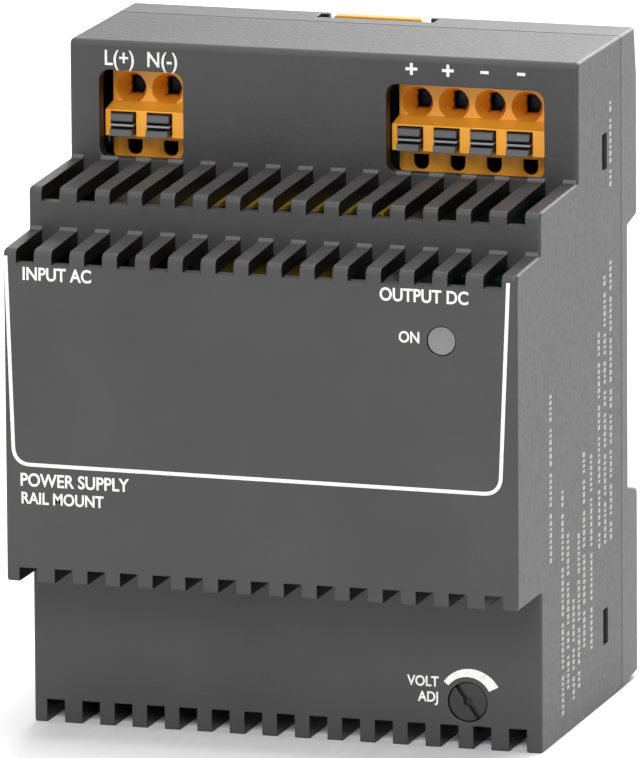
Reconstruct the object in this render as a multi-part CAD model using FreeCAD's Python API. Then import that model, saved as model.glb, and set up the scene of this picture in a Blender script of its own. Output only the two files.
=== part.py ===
import FreeCAD, Part

import math
import os

# Stepped housing power supply for a 35 mm mounting rail.
# Frame: millimetres, +Z up, front towards -Y, +X to the right seen from the front.
# The origin is the middle of the footprint, on the plane of the bottom face.

V = FreeCAD.Vector
X_AXIS = V(1, 0, 0)
Y_AXIS = V(0, 1, 0)
Z_AXIS = V(0, 0, 1)

# ---- driving dimensions: housing ----
WIDTH = 71.0
HEIGHT = 90.0
DEPTH = 58.0
HALF_W = WIDTH / 2
FRONT_Y = -DEPTH / 2
REAR_Y = DEPTH / 2
LOWER_Y = -17.9         # lower face and middle tier
TERMINAL_Y = 0.2        # terminal face
SEAM_Y = 21.1           # joint between cover and base
SEAM_GAP = 0.12         # half of the shadow gap at the joint
RAIL_Y = 24.4           # plane that rests on the rail
NOSE_BOTTOM = 21.8
NOSE_TOP = 66.9
MIDDLE_TOP = 73.2
TIER_RISE = 0.6         # tier roofs rise this much towards the rear
WALL = 1.8
SIDE_WALL = 1.6
CORNER_R = 0.9          # upper corners of the side outline
FOOT_R = 0.25           # lower corners of the side outline
INNER_R = 0.3           # inner corners of the steps
EDGE_R = 0.4            # edges along both side faces

# ---- vent slots, the same fifteen places on each edge ----
SLOT_W = 2.5
SLOT_PITCH = 4.56
SLOT_END_PITCH = 4.95
SLOT_MIDDLE_X = -0.15
SLOT_INNER_COUNT = 13
SLOT_DEPTH = 1.9
BOTTOM_SLOT_DEPTH = 3.15
BOTTOM_SLOT_END_Y = 8.0

# ---- terminals ----
POLE = 5.08
END_PLATE = 1.45
WINDOW_BOTTOM = 74.0
WINDOW_TOP = 86.05
WINDOW_R = 1.5
WINDOW_SLACK = 0.1
INPUT_LEFT = -31.28
INPUT_POLES = 2
OUTPUT_LEFT = 8.98
OUTPUT_POLES = 4
GUIDE_Y = 2.5           # front of the button guide
FUNNEL_Y = 6.0          # front of the wire funnels
BLOCK_REAR_Y = 15.7
BLOCK_BOTTOM = 72.9
BLOCK_TOP = 86.6
GUIDE_BOTTOM = 76.6
GUIDE_TOP = 80.15
GUIDE_SLOPE = 0.85      # rise of the guide's roof from its front to the funnel plane
FUNNEL_Z = 82.6
FUNNEL_R = 2.15
FUNNEL_THROAT_R = 1.0
FUNNEL_DEPTH = 3.8
WIRE_HOLE = (1.9, 2.6)  # width and height of the wire hole behind the funnel
TEST_HOLE_R = 1.05
TEST_HOLE_Z = 74.5      # middle of the round lower end of the test hole
TEST_HOLE_SHIFT = 0.5
CHAMBER_Y = 10.2
CHAMBER_REAR_Y = 14.9
CHAMBER_BOTTOM = 73.6
CHAMBER_TOP = 85.0
BUTTON_W = 3.05
BUTTON_BOTTOM = 76.85
BUTTON_TOP = 79.7
BUTTON_FRONT_Y = 1.75   # front at the top edge
BUTTON_LEAN = 0.85      # the front comes forward this much towards the bottom
BUTTON_POCKET_W = 3.6
BUTTON_POCKET_TOP = 79.95
GROOVE_H = 0.98
GROOVE_DEPTH = 1.0
RIDGE_H = 0.36
SPRING_PIVOT_Y = 12.03
SPRING_PIVOT_Z = 74.9
SPRING_T = 0.35
SPRING_LEG = 8.4
CURL_R = 1.03
SPRING_HALF_W = 1.3
BOSS_R = 0.6
BOSS_HALF_W = 1.8
CHAMBER_HALF_W = 1.75
POCKET_FLOOR_Y = 9.0
HEAD_REAR_Y = 7.0
PUSH_ROD_Z = (77.9, 79.2)
LUG_HOLE_Z = (77.6, 79.5)
LUG_HOLE_HALF_W = 1.3
LUG_HALF_W = 1.5
LUG_Y = (10.45, 10.7)
RIDGE_OVERHANG = 0.15
PIN_SLOT_Z = (84.0, 84.9)

# ---- rail latch ----
LATCH_HALF_W = 6.9
LATCH_FLANGE_HALF_W = 7.8
LATCH_FRONT_Y = 25.0
LATCH_REAR_Y = 27.7
LATCH_FOOT_Y = 25.8
LATCH_BOTTOM = 60.9
LATCH_FOOT_TOP = 64.4
LATCH_SLOT = (68.0, 80.4)
LATCH_CLEAR = 0.3
LATCH_FLANGE_Y = 26.4
LATCH_FLANGE_Z = (65.0, 79.4)
LATCH_SLOT_HALF_W = 1.75
TOOL_SLOT_Z = (84.6, 87.0)
HOOK_X = (14.0, 28.0)   # fixed hooks below the rail, mirrored on the left
HOOK_REACH = 1.9
RAIL_ROOM = 1.5         # behind the rail seat, for the rail's edge
RECESS_BOTTOM = 27.4
RECESS_TOP = 63.4
PAD_BOTTOM_TOP = 26.3
PAD_TOP_BOTTOM = 64.15
PAD_R = 0.8             # corners of the two rear pads beside the recess
FOOT_RISE = 0.85        # the base's underside rises this much towards the rear
TAPER_Z = 83.5          # above this the rear face leans forward
TAPER = 1.1
POCKET_HALF_W = 8.3
POCKET_REAR_Y = 26.9    # a thin wall behind the pocket stays beside the latch
POCKET_BOTTOM = 84.0
STOP_Z = (78.0, 79.6)
STOP_HALF_W = 1.4
SPRING_R = 1.0
SPRING_WIRE_R = 0.22
SPRING_TURNS = 7

# ---- display and setting ----
LIGHT_X = 25.1
LIGHT_Z = 57.7
LIGHT_R = 1.87
LIGHT_HOLE_R = 2.0
ADJUST_X = 25.2
ADJUST_Z = 6.4
ADJUST_R = 2.6
ADJUST_HOLE_R = 2.75
ADJUST_SHAFT_R = 1.2
ADJUST_SLOT_W = 0.62
ADJUST_SLOT_DEPTH = 1.0
ADJUST_REST_DEG = -35.0 # turn of the slot from upright at rest

# ---- electronics ----
BOARD_Y = 16.0          # front of the main board
BOARD_T = 1.6
BOARD_REAR_Y = BOARD_Y + BOARD_T
BOARD_HALF_W = 31.9
BOARD_BOTTOM = 2.4
BOARD_TOP = 87.6
SCREW_PLACES = [(-29.0, 5.6), (15.5, 5.6), (-16.8, 84.8), (6.2, 84.8)]
SCREW_R = 1.15
SCREW_HOLE_R = 1.6
POST_R = 2.6
PIN_HALF_W = 0.5        # solder pins of the current bars
UPRIGHT_X = (28.8, 30.0)
LED_R = 1.45
LED_Y = -22.4
LED_HOLDER_Y = (-19.5, -14.0)
TRIMMER_Y = (-15.4, -10.9)
SHEET_T = 0.45
SHEET_Z = (9.0, 81.6)

# ---- transformer ----
TRANSFORMER_X = -3.0
TRANSFORMER_Z = 56.0
CORE_HALF_W = 13.0
CORE_HALF_H = 13.5
CORE_Y = (-7.0, 5.0)
CORE_LEG = 3.2
CORE_MIDDLE_HALF_W = 3.4
CORE_WINDOW_HALF_H = 9.5
BOBBIN_SLEEVE_HALF_W = 4.4
BOBBIN_HALF_W = 9.5
BOBBIN_FRONT_Y = -12.2
BOBBIN_FLANGE_H = (8.3, 9.3)
PIN_RAIL_Y = 12.0
PIN_RAIL_H = 12.6
COIL_HALF_W = 9.2
COIL_HALF_H = 8.2
COIL_Y = (-11.8, 10.6)
COIL_R = 3.0
TAPE_T = 0.35

# ---- capacitors and filter parts ----
BULK_PLACE = (-21.5, 31.0)
BULK_R = 9.0
BULK_LENGTH = 31.0
OUTPUT_CAN_PLACES = [(-6.4, 34.6), (4.2, 34.6), (4.2, 23.6), (15.4, 31.0)]
OUTPUT_CAN_R = 5.0
OUTPUT_CAN_LENGTH = 20.0
X_CAPACITOR_X = (-31.5, -16.9)
X_CAPACITOR_Z = (60.4, 70.4)
CHOKE_X = -24.6
CHOKE_Z = 50.0
CHOKE_R = (3.8, 6.7)
CHOKE_Y = (5.4, 13.0)
CHOKE_WIRE_R = 0.42
CHOKE_TURNS = 7
CHOKE_STEP_DEG = 20
Y_CAPACITOR_X = (-3.0, 6.5)
Y_CAPACITOR_R = 3.6
Y_CAPACITOR_T = 2.8
INPUT_DISC_Z = 72.9
INPUT_DISC_T = 3.4
FUSE_X = (-17.0, 3.0)
FUSE_Y = 10.4
FUSE_Z = 78.6
FUSE_GLASS_R = (1.8, 2.3)
FUSE_CAP_R = 2.6
FUSE_CAP_L = 5.0

# ---- semiconductors and heat sinks ----
RECTIFIER_X = (-30.5, -15.5)
RECTIFIER_Z = (17.4, 20.8)
SINK_FRONT_Y = -13.5
SINK_T = 2.0
SINK_SCREW_Y = -8.0
SINK_HOLE_R = 1.6
PRIMARY_SINK_X = (-31.0, -9.0)
PRIMARY_SINK_Z = 14.0
SECONDARY_SINK_X = 11.6
SECONDARY_SINK_Z = (42.0, 68.0)
TRANSISTOR_X = -20.0
DIODE_Z = 55.0
PACKAGE_W = 10.0
PACKAGE_L = 15.5
PACKAGE_T = 4.4
PACKAGE_Y = 4.3
PACKAGE_LEAD_PITCH = 2.54
INDUCTOR_PLACE = (-6.2, 22.4)
INDUCTOR_R = 5.4
COUPLER_X = (12.0, 19.0)
COUPLER_Z = (15.0, 21.5)

# ---- snap joint between cover and base ----
SNAP_ROWS = [(8.0, 13.0), (73.2, 78.2)]
SNAP_Y = (11.8, 14.2)
ARM_X = (32.3, 33.7)    # inner and outer faces of the spring arms
ARM_CLEAR = 0.4
BARB_X = 34.6
RIM_T = 1.2             # rim of the base that sits inside the cover
RIM_DEPTH = 1.5


def box(x0, x1, y0, y1, z0, z1):
    """Block between two corners."""
    return Part.makeBox(x1 - x0, y1 - y0, z1 - z0, V(x0, y0, z0))


def rod(x, y, z, radius, length, axis=Y_AXIS):
    """Cylinder that starts at a point and runs along an axis."""
    return Part.makeCylinder(radius, length, V(x, y, z), axis)


def fuse(shapes):
    """Union of a list of overlapping shapes."""
    result = shapes[0]
    for shape in shapes[1:]:
        result = result.fuse(shape)
    return result.removeSplitter()


def outline_wire(corners):
    """Closed wire through (point, radius) corners, with an arc at each radius above zero."""
    edges = []
    previous_end = None
    first_start = None
    count = len(corners)
    for index, (point, radius) in enumerate(corners):
        before = (corners[index - 1][0] - point).normalize()
        after = (corners[(index + 1) % count][0] - point).normalize()
        if radius > 0:
            half = before.getAngle(after) / 2
            run = radius / math.tan(half)
            start = point + before * run
            end = point + after * run
            bisector = (before + after).normalize()
            middle = point + bisector * (radius / math.sin(half) - radius)
            arc = Part.Arc(start, middle, end).toShape()
        else:
            start = point
            end = point
            arc = None
        if previous_end is None:
            first_start = start
        else:
            edges.append(Part.makeLine(previous_end, start))
        if arc is not None:
            edges.append(arc)
        previous_end = end
    edges.append(Part.makeLine(previous_end, first_start))
    return Part.Wire(edges)


def side_profile(corners, x0, x1):
    """Solid from an outline of (y, z, radius) corners, extruded from x0 to x1."""
    wire = outline_wire([(V(x0, y, z), radius) for y, z, radius in corners])
    return Part.Face(wire).extrude(V(x1 - x0, 0, 0))


def front_profile(corners, y0, y1):
    """Solid from an outline of (x, z, radius) corners, extruded from y0 to y1."""
    wire = outline_wire([(V(x, y0, z), radius) for x, z, radius in corners])
    return Part.Face(wire).extrude(V(0, y1 - y0, 0))


def rounded_front_box(x0, x1, y0, y1, z0, z1, radius):
    """Block whose four edges along Y are rounded."""
    corners = [(x0, z0, radius), (x1, z0, radius), (x1, z1, radius), (x0, z1, radius)]
    return front_profile(corners, y0, y1)


def round_side_edges(solid, radius, skip_y):
    """Round the edges that border both side faces, except where they meet the joint plane."""
    edges = []
    for edge in solid.Edges:
        bounds = edge.BoundBox
        on_side = bounds.XLength < 1e-6 and abs(abs(bounds.XMin) - HALF_W) < 1e-6
        on_joint = abs(bounds.YMin - skip_y) < 1e-6 and abs(bounds.YMax - skip_y) < 1e-6
        if on_side and not on_joint:
            edges.append(edge)
    return solid.makeFillet(radius, edges)


def slot_places():
    """X of the middle of each vent slot: an even run with a wider step at both ends."""
    half_run = SLOT_PITCH * (SLOT_INNER_COUNT - 1) / 2
    places = [SLOT_MIDDLE_X - half_run + SLOT_PITCH * k for k in range(SLOT_INNER_COUNT)]
    return [places[0] - SLOT_END_PITCH] + places + [places[-1] + SLOT_END_PITCH]


def pole_places(left, poles):
    """X of the middle of each terminal pole."""
    return [left + POLE * (k + 0.5) for k in range(poles)]


def all_poles():
    """X of every pole of both terminals."""
    return pole_places(INPUT_LEFT, INPUT_POLES) + pole_places(OUTPUT_LEFT, OUTPUT_POLES)


# ---- housing ----
def front_cover():
    """Stepped cover, open at the rear, with vent slots, windows and holes."""
    joint = SEAM_Y - SEAM_GAP
    nose_rear = NOSE_TOP + TIER_RISE
    middle_rear = MIDDLE_TOP + TIER_RISE
    outer = side_profile([
        (joint, 0, 0), (joint, HEIGHT, 0), (TERMINAL_Y, HEIGHT, CORNER_R),
        (TERMINAL_Y, middle_rear, INNER_R), (LOWER_Y, MIDDLE_TOP, CORNER_R),
        (LOWER_Y, nose_rear, INNER_R), (FRONT_Y, NOSE_TOP, CORNER_R),
        (FRONT_Y, NOSE_BOTTOM, FOOT_R), (LOWER_Y, NOSE_BOTTOM, INNER_R),
        (LOWER_Y, 0, FOOT_R)], -HALF_W, HALF_W)
    outer = round_side_edges(outer, EDGE_R, joint)
    inside = HALF_W - SIDE_WALL
    cavity = side_profile([
        (joint + 1, WALL, 0), (joint + 1, HEIGHT - WALL, 0), (TERMINAL_Y + WALL, HEIGHT - WALL, INNER_R),
        (TERMINAL_Y + WALL, middle_rear - WALL, 0), (LOWER_Y + WALL, MIDDLE_TOP - WALL, INNER_R),
        (LOWER_Y + WALL, nose_rear - WALL, 0), (FRONT_Y + WALL, NOSE_TOP - WALL, INNER_R),
        (FRONT_Y + WALL, NOSE_BOTTOM + WALL, INNER_R), (LOWER_Y + WALL, NOSE_BOTTOM + WALL, 0),
        (LOWER_Y + WALL, WALL, INNER_R)], -inside, inside)
    cover = outer.cut(cavity)

    cuts = []
    half = SLOT_W / 2
    for x in slot_places():
        left = x - half
        right = x + half
        cuts += [
            box(left, right, LOWER_Y - 1, TERMINAL_Y, MIDDLE_TOP - SLOT_DEPTH, middle_rear + 1),
            box(left, right, FRONT_Y - 1, LOWER_Y, NOSE_TOP - SLOT_DEPTH, nose_rear + 1),
            box(left, right, FRONT_Y - 1, LOWER_Y, NOSE_BOTTOM - 1, NOSE_BOTTOM + SLOT_DEPTH),
            box(left, right, LOWER_Y - 1, BOTTOM_SLOT_END_Y, -1, BOTTOM_SLOT_DEPTH)]
    for left, poles in ((INPUT_LEFT, INPUT_POLES), (OUTPUT_LEFT, OUTPUT_POLES)):
        right = left + POLE * poles + END_PLATE
        cuts.append(rounded_front_box(left - WINDOW_SLACK, right + WINDOW_SLACK, TERMINAL_Y - 1,
                                      TERMINAL_Y + WALL + 1, WINDOW_BOTTOM, WINDOW_TOP, WINDOW_R))
    cuts.append(rod(LIGHT_X, FRONT_Y - 1, LIGHT_Z, LIGHT_HOLE_R, WALL + 2))
    cuts.append(rod(ADJUST_X, LOWER_Y - 1, ADJUST_Z, ADJUST_HOLE_R, WALL + 2))
    for low, high in SNAP_ROWS:
        cuts.append(box(-HALF_W - 1, HALF_W + 1, SNAP_Y[0], SNAP_Y[1], low, high))
    return cover.cut(cuts)


def base_hollows(joint):
    """Room inside the base: the main hollow, one behind the lower pad and two beside the latch."""
    inside = HALF_W - WALL
    floor = RAIL_Y - WALL
    pad_floor = REAR_Y - WALL
    channel = POCKET_HALF_W + WALL
    upper = RECESS_TOP + WALL + 0.6
    hollows = [
        box(-inside, inside, joint - 1, floor, WALL, HEIGHT - WALL),
        box(-inside, inside, floor - 1, pad_floor, WALL + TAPER, PAD_BOTTOM_TOP - WALL)]
    for left, right in ((-inside, -channel), (channel, inside)):
        hollows.append(box(left, right, floor - 1, pad_floor - TAPER, upper, HEIGHT - WALL))
    return hollows


def snap_arms():
    """Four spring arms whose barbs catch in the windows in the cover's sides."""
    arms = []
    for side in (-1, 1):
        inner, outer = sorted((side * ARM_X[0], side * ARM_X[1]))
        root = side * (ARM_X[1] - 0.1)
        tip = side * BARB_X
        for low, high in SNAP_ROWS:
            bottom = low + ARM_CLEAR
            height = high - low - 2 * ARM_CLEAR
            arms.append(box(inner, outer, SNAP_Y[0] - 0.2, RAIL_Y - WALL, bottom, bottom + height))
            points = [V(root, SNAP_Y[1] - 0.3, bottom), V(tip, SNAP_Y[1] - 0.3, bottom),
                      V(root, SNAP_Y[0] + 0.2, bottom)]
            arms.append(Part.Face(Part.makePolygon(points + points[:1])).extrude(V(0, 0, height)))
    return arms


def rear_base():
    """Base shell with the rail recess, fixed hooks, latch channel, board posts and snap arms."""
    joint = SEAM_Y + SEAM_GAP
    floor = RAIL_Y - WALL
    outer = side_profile([
        (joint, 0, 0), (REAR_Y, FOOT_RISE, FOOT_R), (REAR_Y, PAD_BOTTOM_TOP, PAD_R),
        (RAIL_Y, RECESS_BOTTOM, INNER_R), (RAIL_Y, RECESS_TOP, INNER_R),
        (REAR_Y, PAD_TOP_BOTTOM, PAD_R), (REAR_Y, TAPER_Z, 0), (REAR_Y - TAPER, HEIGHT, 0),
        (joint, HEIGHT, 0)], -HALF_W, HALF_W)
    base = round_side_edges(outer, EDGE_R, joint).cut(base_hollows(joint))

    rim_x = ARM_X[1]
    rim_z = WALL + 0.2
    rim = box(-rim_x, rim_x, SEAM_Y - RIM_DEPTH, floor, rim_z, HEIGHT - rim_z)
    rim_x -= RIM_T
    rim_z += RIM_T
    rim = rim.cut(box(-rim_x, rim_x, SEAM_Y - 2, floor + 1, rim_z, HEIGHT - rim_z))
    additions = [rim] + snap_arms()
    for left, right in ((-HOOK_X[1], -HOOK_X[0]), HOOK_X):
        additions.append(box(left, right, RAIL_Y + RAIL_ROOM, REAR_Y - 0.2, PAD_BOTTOM_TOP - 2,
                             RECESS_BOTTOM + HOOK_REACH))
    for x, z in SCREW_PLACES:
        additions.append(rod(x, BOARD_REAR_Y, z, POST_R, floor + 0.5 - BOARD_REAR_Y))
    base = fuse([base] + additions)

    flange = LATCH_FLANGE_HALF_W + LATCH_CLEAR
    throat = LATCH_HALF_W + LATCH_CLEAR
    channel_floor = LATCH_FRONT_Y - LATCH_CLEAR
    cuts = [
        box(-flange, flange, channel_floor, LATCH_FLANGE_Y + LATCH_CLEAR,
            LATCH_FLANGE_Z[0] - LATCH_CLEAR, HEIGHT),
        box(-throat, throat, channel_floor, REAR_Y + 1, RECESS_TOP - 1, HEIGHT),
        box(-POCKET_HALF_W, POCKET_HALF_W, RAIL_Y - 0.2, POCKET_REAR_Y, POCKET_BOTTOM, HEIGHT + 1)]
    for x, z in SCREW_PLACES:
        cuts.append(rod(x, BOARD_Y, z, SCREW_R + 0.05, 6.0))
    stop = box(-STOP_HALF_W, STOP_HALF_W, channel_floor - 0.5, LATCH_REAR_Y - 0.3, *STOP_Z)
    return base.cut(cuts).fuse(stop).removeSplitter()


def rail_latch():
    """Sliding latch: a tab to pull at the top, guide flanges, and a foot behind the rail's edge."""
    half = LATCH_HALF_W
    corner = 0.9
    plate = front_profile([
        (-half, LATCH_FOOT_TOP, 0), (half, LATCH_FOOT_TOP, 0), (half, HEIGHT - corner, 0),
        (half - corner, HEIGHT, 0), (-half + corner, HEIGHT, 0), (-half, HEIGHT - corner, 0)],
        LATCH_FRONT_Y, LATCH_REAR_Y)
    flanges = box(-LATCH_FLANGE_HALF_W, LATCH_FLANGE_HALF_W, LATCH_FRONT_Y, LATCH_FLANGE_Y, *LATCH_FLANGE_Z)
    foot_rear = REAR_Y - 0.5
    foot = side_profile([
        (LATCH_FOOT_Y, LATCH_FOOT_TOP + 0.5, 0), (LATCH_FOOT_Y, LATCH_BOTTOM + 1.2, 0),
        (LATCH_FOOT_Y + 1.4, LATCH_BOTTOM, 0.3), (foot_rear, LATCH_BOTTOM, 0.3),
        (foot_rear, LATCH_FOOT_TOP, 0), (LATCH_REAR_Y, LATCH_FOOT_TOP + 0.5, 0)], -half, half)
    latch = fuse([plate, flanges, foot])
    front = LATCH_FRONT_Y - 1
    rear = LATCH_REAR_Y + 1
    spring_slot = box(-LATCH_SLOT_HALF_W, LATCH_SLOT_HALF_W, front, rear, *LATCH_SLOT)
    tool_slot = box(-3.0, 3.0, front, rear, *TOOL_SLOT_Z)
    thin_top = box(-half - 1, half + 1, front, LATCH_FRONT_Y + 0.9, POCKET_BOTTOM - 1.5, HEIGHT + 1)
    return latch.cut([spring_slot, tool_slot, thin_top])


def latch_spring():
    """Compression spring that pushes the latch down, wound about a vertical axis."""
    low = LATCH_SLOT[0] + SPRING_WIRE_R
    height = STOP_Z[0] - LATCH_SLOT[0] - 2 * SPRING_WIRE_R
    helix = Part.makeHelix(height / SPRING_TURNS, height, SPRING_R)
    section = Part.Wire(Part.makeCircle(SPRING_WIRE_R, V(SPRING_R, 0, 0), Y_AXIS))
    spring = Part.Wire(helix.Edges).makePipeShell([section], True, True)
    spring.translate(V(0, (LATCH_FRONT_Y + LATCH_REAR_Y) / 2, low))
    return spring


# ---- terminals ----
def terminal_housing(left, poles):
    """Insulating block: funnels above, button guide in the middle, test holes below."""
    right = left + POLE * poles + END_PLATE
    body = rounded_front_box(left, right, FUNNEL_Y, BLOCK_REAR_Y, BLOCK_BOTTOM, BLOCK_TOP, 0.9)
    guide = side_profile([
        (GUIDE_Y, GUIDE_BOTTOM, 0), (GUIDE_Y, GUIDE_TOP, 0), (FUNNEL_Y + 1, GUIDE_TOP + GUIDE_SLOPE, 0),
        (FUNNEL_Y + 1, GUIDE_BOTTOM, 0)], left, right)
    block = fuse([body, guide])
    wire_w = WIRE_HOLE[0] / 2
    wire_h = WIRE_HOLE[1] / 2
    pocket = BUTTON_POCKET_W / 2
    chamber = CHAMBER_HALF_W
    lug_hole = LUG_HOLE_HALF_W
    pin = PIN_HALF_W + 0.1
    through = CHAMBER_Y + 0.1
    cuts = []
    bosses = []
    for x in pole_places(left, poles):
        test_x = x + TEST_HOLE_SHIFT
        cuts += [
            Part.makeCone(FUNNEL_R, FUNNEL_THROAT_R, FUNNEL_DEPTH, V(x, FUNNEL_Y, FUNNEL_Z), Y_AXIS),
            box(x - wire_w, x + wire_w, FUNNEL_Y + 1, through, FUNNEL_Z - wire_h, FUNNEL_Z + wire_h),
            box(x - chamber, x + chamber, CHAMBER_Y, CHAMBER_REAR_Y, CHAMBER_BOTTOM, CHAMBER_TOP),
            box(x - pocket, x + pocket, GUIDE_Y - 1, POCKET_FLOOR_Y, GUIDE_BOTTOM - 0.05, BUTTON_POCKET_TOP),
            box(x - lug_hole, x + lug_hole, POCKET_FLOOR_Y - 0.1, through, *LUG_HOLE_Z),
            box(test_x - TEST_HOLE_R, test_x + TEST_HOLE_R, FUNNEL_Y - 1, through,
                TEST_HOLE_Z, TEST_HOLE_Z + TEST_HOLE_R),
            rod(test_x, FUNNEL_Y - 1, TEST_HOLE_Z, TEST_HOLE_R, through - FUNNEL_Y + 1),
            box(x - pin, x + pin, CHAMBER_REAR_Y - 0.1, BLOCK_REAR_Y + 1, *PIN_SLOT_Z)]
        bosses.append(rod(x - BOSS_HALF_W, SPRING_PIVOT_Y, SPRING_PIVOT_Z, BOSS_R, 2 * BOSS_HALF_W, X_AXIS))
    return fuse([block.cut(cuts)] + bosses)


def release_button(x):
    """Leaning button with two finger grooves and a ridge, a push rod and lugs that keep it in."""
    half = BUTTON_W / 2
    foot_y = BUTTON_FRONT_Y - BUTTON_LEAN
    head = side_profile([
        (foot_y, BUTTON_BOTTOM, 0), (BUTTON_FRONT_Y, BUTTON_TOP, 0), (HEAD_REAR_Y, BUTTON_TOP, 0),
        (HEAD_REAR_Y, BUTTON_BOTTOM, 0)], x - half, x + half)
    middle_z = (BUTTON_BOTTOM + BUTTON_TOP) / 2
    middle_y = BUTTON_FRONT_Y - BUTTON_LEAN / 2
    groove = GROOVE_H / 2
    floor = middle_y + GROOVE_DEPTH
    recess = box(x - half - 1, x + half + 1, foot_y - 1, floor, middle_z - groove, middle_z + groove)
    crest = RIDGE_H / 2
    ridge = box(x - half, x + half + RIDGE_OVERHANG, middle_y + 0.1, floor + 0.1,
                middle_z - crest, middle_z + crest)
    push_rod = box(x - 1.0, x + 1.0, HEAD_REAR_Y - 0.1, LUG_Y[1], *PUSH_ROD_Z)
    lugs = box(x - LUG_HALF_W, x + LUG_HALF_W, LUG_Y[0], LUG_Y[1], *PUSH_ROD_Z)
    return fuse([head.cut(recess), ridge, push_rod, lugs])


def clamp_spring(x):
    """Leaf that pinches the wire: a curl around its boss and a straight leg above it."""
    half = SPRING_HALF_W
    outer = rod(x - half, SPRING_PIVOT_Y, SPRING_PIVOT_Z, CURL_R, 2 * half, X_AXIS)
    inner = rod(x - 2, SPRING_PIVOT_Y, SPRING_PIVOT_Z, CURL_R - SPRING_T, 4, X_AXIS)
    front = SPRING_PIVOT_Y - CURL_R
    leg = box(x - half, x + half, front, front + SPRING_T, SPRING_PIVOT_Z, SPRING_PIVOT_Z + SPRING_LEG)
    return fuse([outer.cut(inner), leg])


def current_bars(left, poles):
    """Copper bar above each wire, with a solder pin through the main board."""
    low = PIN_SLOT_Z[0] + 0.1
    high = PIN_SLOT_Z[1] - 0.1
    half = CHAMBER_HALF_W - 0.15
    bars = []
    for x in pole_places(left, poles):
        bar = box(x - half, x + half, CHAMBER_Y + 0.3, CHAMBER_REAR_Y - 0.2, low, high)
        pin = box(x - PIN_HALF_W, x + PIN_HALF_W, CHAMBER_REAR_Y - 0.3, BOARD_REAR_Y + 0.8, low, high)
        bars.append(fuse([bar, pin]))
    return Part.makeCompound(bars)


# ---- display and setting ----
def light_pipe():
    """Clear lens with a slightly domed face, an inner flange and a short stem."""
    dome_r = 12.0
    edge = dome_r - math.sqrt(dome_r ** 2 - LIGHT_R ** 2)
    head = rod(LIGHT_X, FRONT_Y, LIGHT_Z, LIGHT_R, WALL + 0.1)
    ball = Part.makeSphere(dome_r, V(LIGHT_X, FRONT_Y + dome_r, LIGHT_Z))
    face = head.common(ball)
    flange = rod(LIGHT_X, FRONT_Y + WALL + 0.02, LIGHT_Z, LIGHT_R + 0.8, 0.9)
    stem = rod(LIGHT_X, FRONT_Y + WALL + edge, LIGHT_Z, 1.6, 4.7 - WALL)
    return fuse([face, flange, stem])


def status_led():
    """Small round lamp behind the light pipe."""
    body = rod(LIGHT_X, LED_Y, LIGHT_Z, LED_R, LED_HOLDER_Y[0] - LED_Y)
    dome = Part.makeSphere(LED_R, V(LIGHT_X, LED_Y, LIGHT_Z))
    return fuse([body, dome])


def led_holder():
    """Right-angle holder that carries the lamp on the upright board."""
    return box(LIGHT_X - 2.3, UPRIGHT_X[0], *LED_HOLDER_Y, LIGHT_Z - 2.3, LIGHT_Z + 2.3)


def trimmer_body():
    """Square body of the setting potentiometer, with a bore for its rotor."""
    body = box(ADJUST_X - 3.5, UPRIGHT_X[0], *TRIMMER_Y, ADJUST_Z - 3.4, ADJUST_Z + 3.4)
    return body.cut(rod(ADJUST_X, TRIMMER_Y[0] - 1, ADJUST_Z, ADJUST_SHAFT_R + 0.06, 3.8))


def voltage_adjuster():
    """Rotor flush with the face, with a screwdriver slot from rim to rim and a middle dimple."""
    face = LOWER_Y + 0.2
    disc = rod(ADJUST_X, face, ADJUST_Z, ADJUST_R, 1.8)
    shaft = rod(ADJUST_X, LOWER_Y + 1.9, ADJUST_Z, ADJUST_SHAFT_R, 3.2)
    slot = box(-ADJUST_SLOT_W / 2, ADJUST_SLOT_W / 2, face - 1, face + ADJUST_SLOT_DEPTH,
               -ADJUST_R - 1, ADJUST_R + 1)
    slot.rotate(V(0, 0, 0), Y_AXIS, ADJUST_REST_DEG)
    slot.translate(V(ADJUST_X, 0, ADJUST_Z))
    dimple = rod(ADJUST_X, face - 1, ADJUST_Z, ADJUST_SLOT_W, 1 + ADJUST_SLOT_DEPTH)
    return fuse([disc, shaft]).cut([slot, dimple])


# ---- boards ----
def main_board():
    """Board that carries the terminals and the power parts."""
    board = box(-BOARD_HALF_W, BOARD_HALF_W, BOARD_Y, BOARD_REAR_Y, BOARD_BOTTOM, BOARD_TOP)
    cuts = [rod(x, BOARD_Y - 1, z, SCREW_HOLE_R, BOARD_T + 2) for x, z in SCREW_PLACES]
    for x in all_poles():
        cuts.append(box(x - PIN_HALF_W - 0.2, x + PIN_HALF_W + 0.2, BOARD_Y - 1, BOARD_REAR_Y + 1,
                        PIN_SLOT_Z[0] - 0.1, PIN_SLOT_Z[1] + 0.1))
    return board.cut(cuts)


def control_board():
    """Upright board at the right for the lamp, the trimmer and the control circuit."""
    step_z = 24.0
    foot_z = 3.0
    head_z = 62.0
    return side_profile([
        (BOARD_Y, foot_z, 0), (BOARD_Y, head_z, 0), (-20.0, head_z, 1.0), (-20.0, step_z + 3.0, 1.0),
        (TRIMMER_Y[1], step_z, 1.0), (TRIMMER_Y[1], foot_z, 0)], *UPRIGHT_X)


def controller_chip():
    """Flat eight-pin control chip on the upright board."""
    face = UPRIGHT_X[1]
    half_body = 2.0
    half_span = 3.0
    pitch = 1.27
    bottom = 33.0
    chip = [box(face, face + 1.5, -half_body, half_body, bottom, bottom + 4 * pitch)]
    for k in range(4):
        z = bottom + pitch * (k + 0.5)
        chip.append(box(face, face + 0.3, -half_span, 0.1 - half_body, z - 0.2, z + 0.2))
        chip.append(box(face, face + 0.3, half_body - 0.1, half_span, z - 0.2, z + 0.2))
    return fuse(chip)


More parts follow.
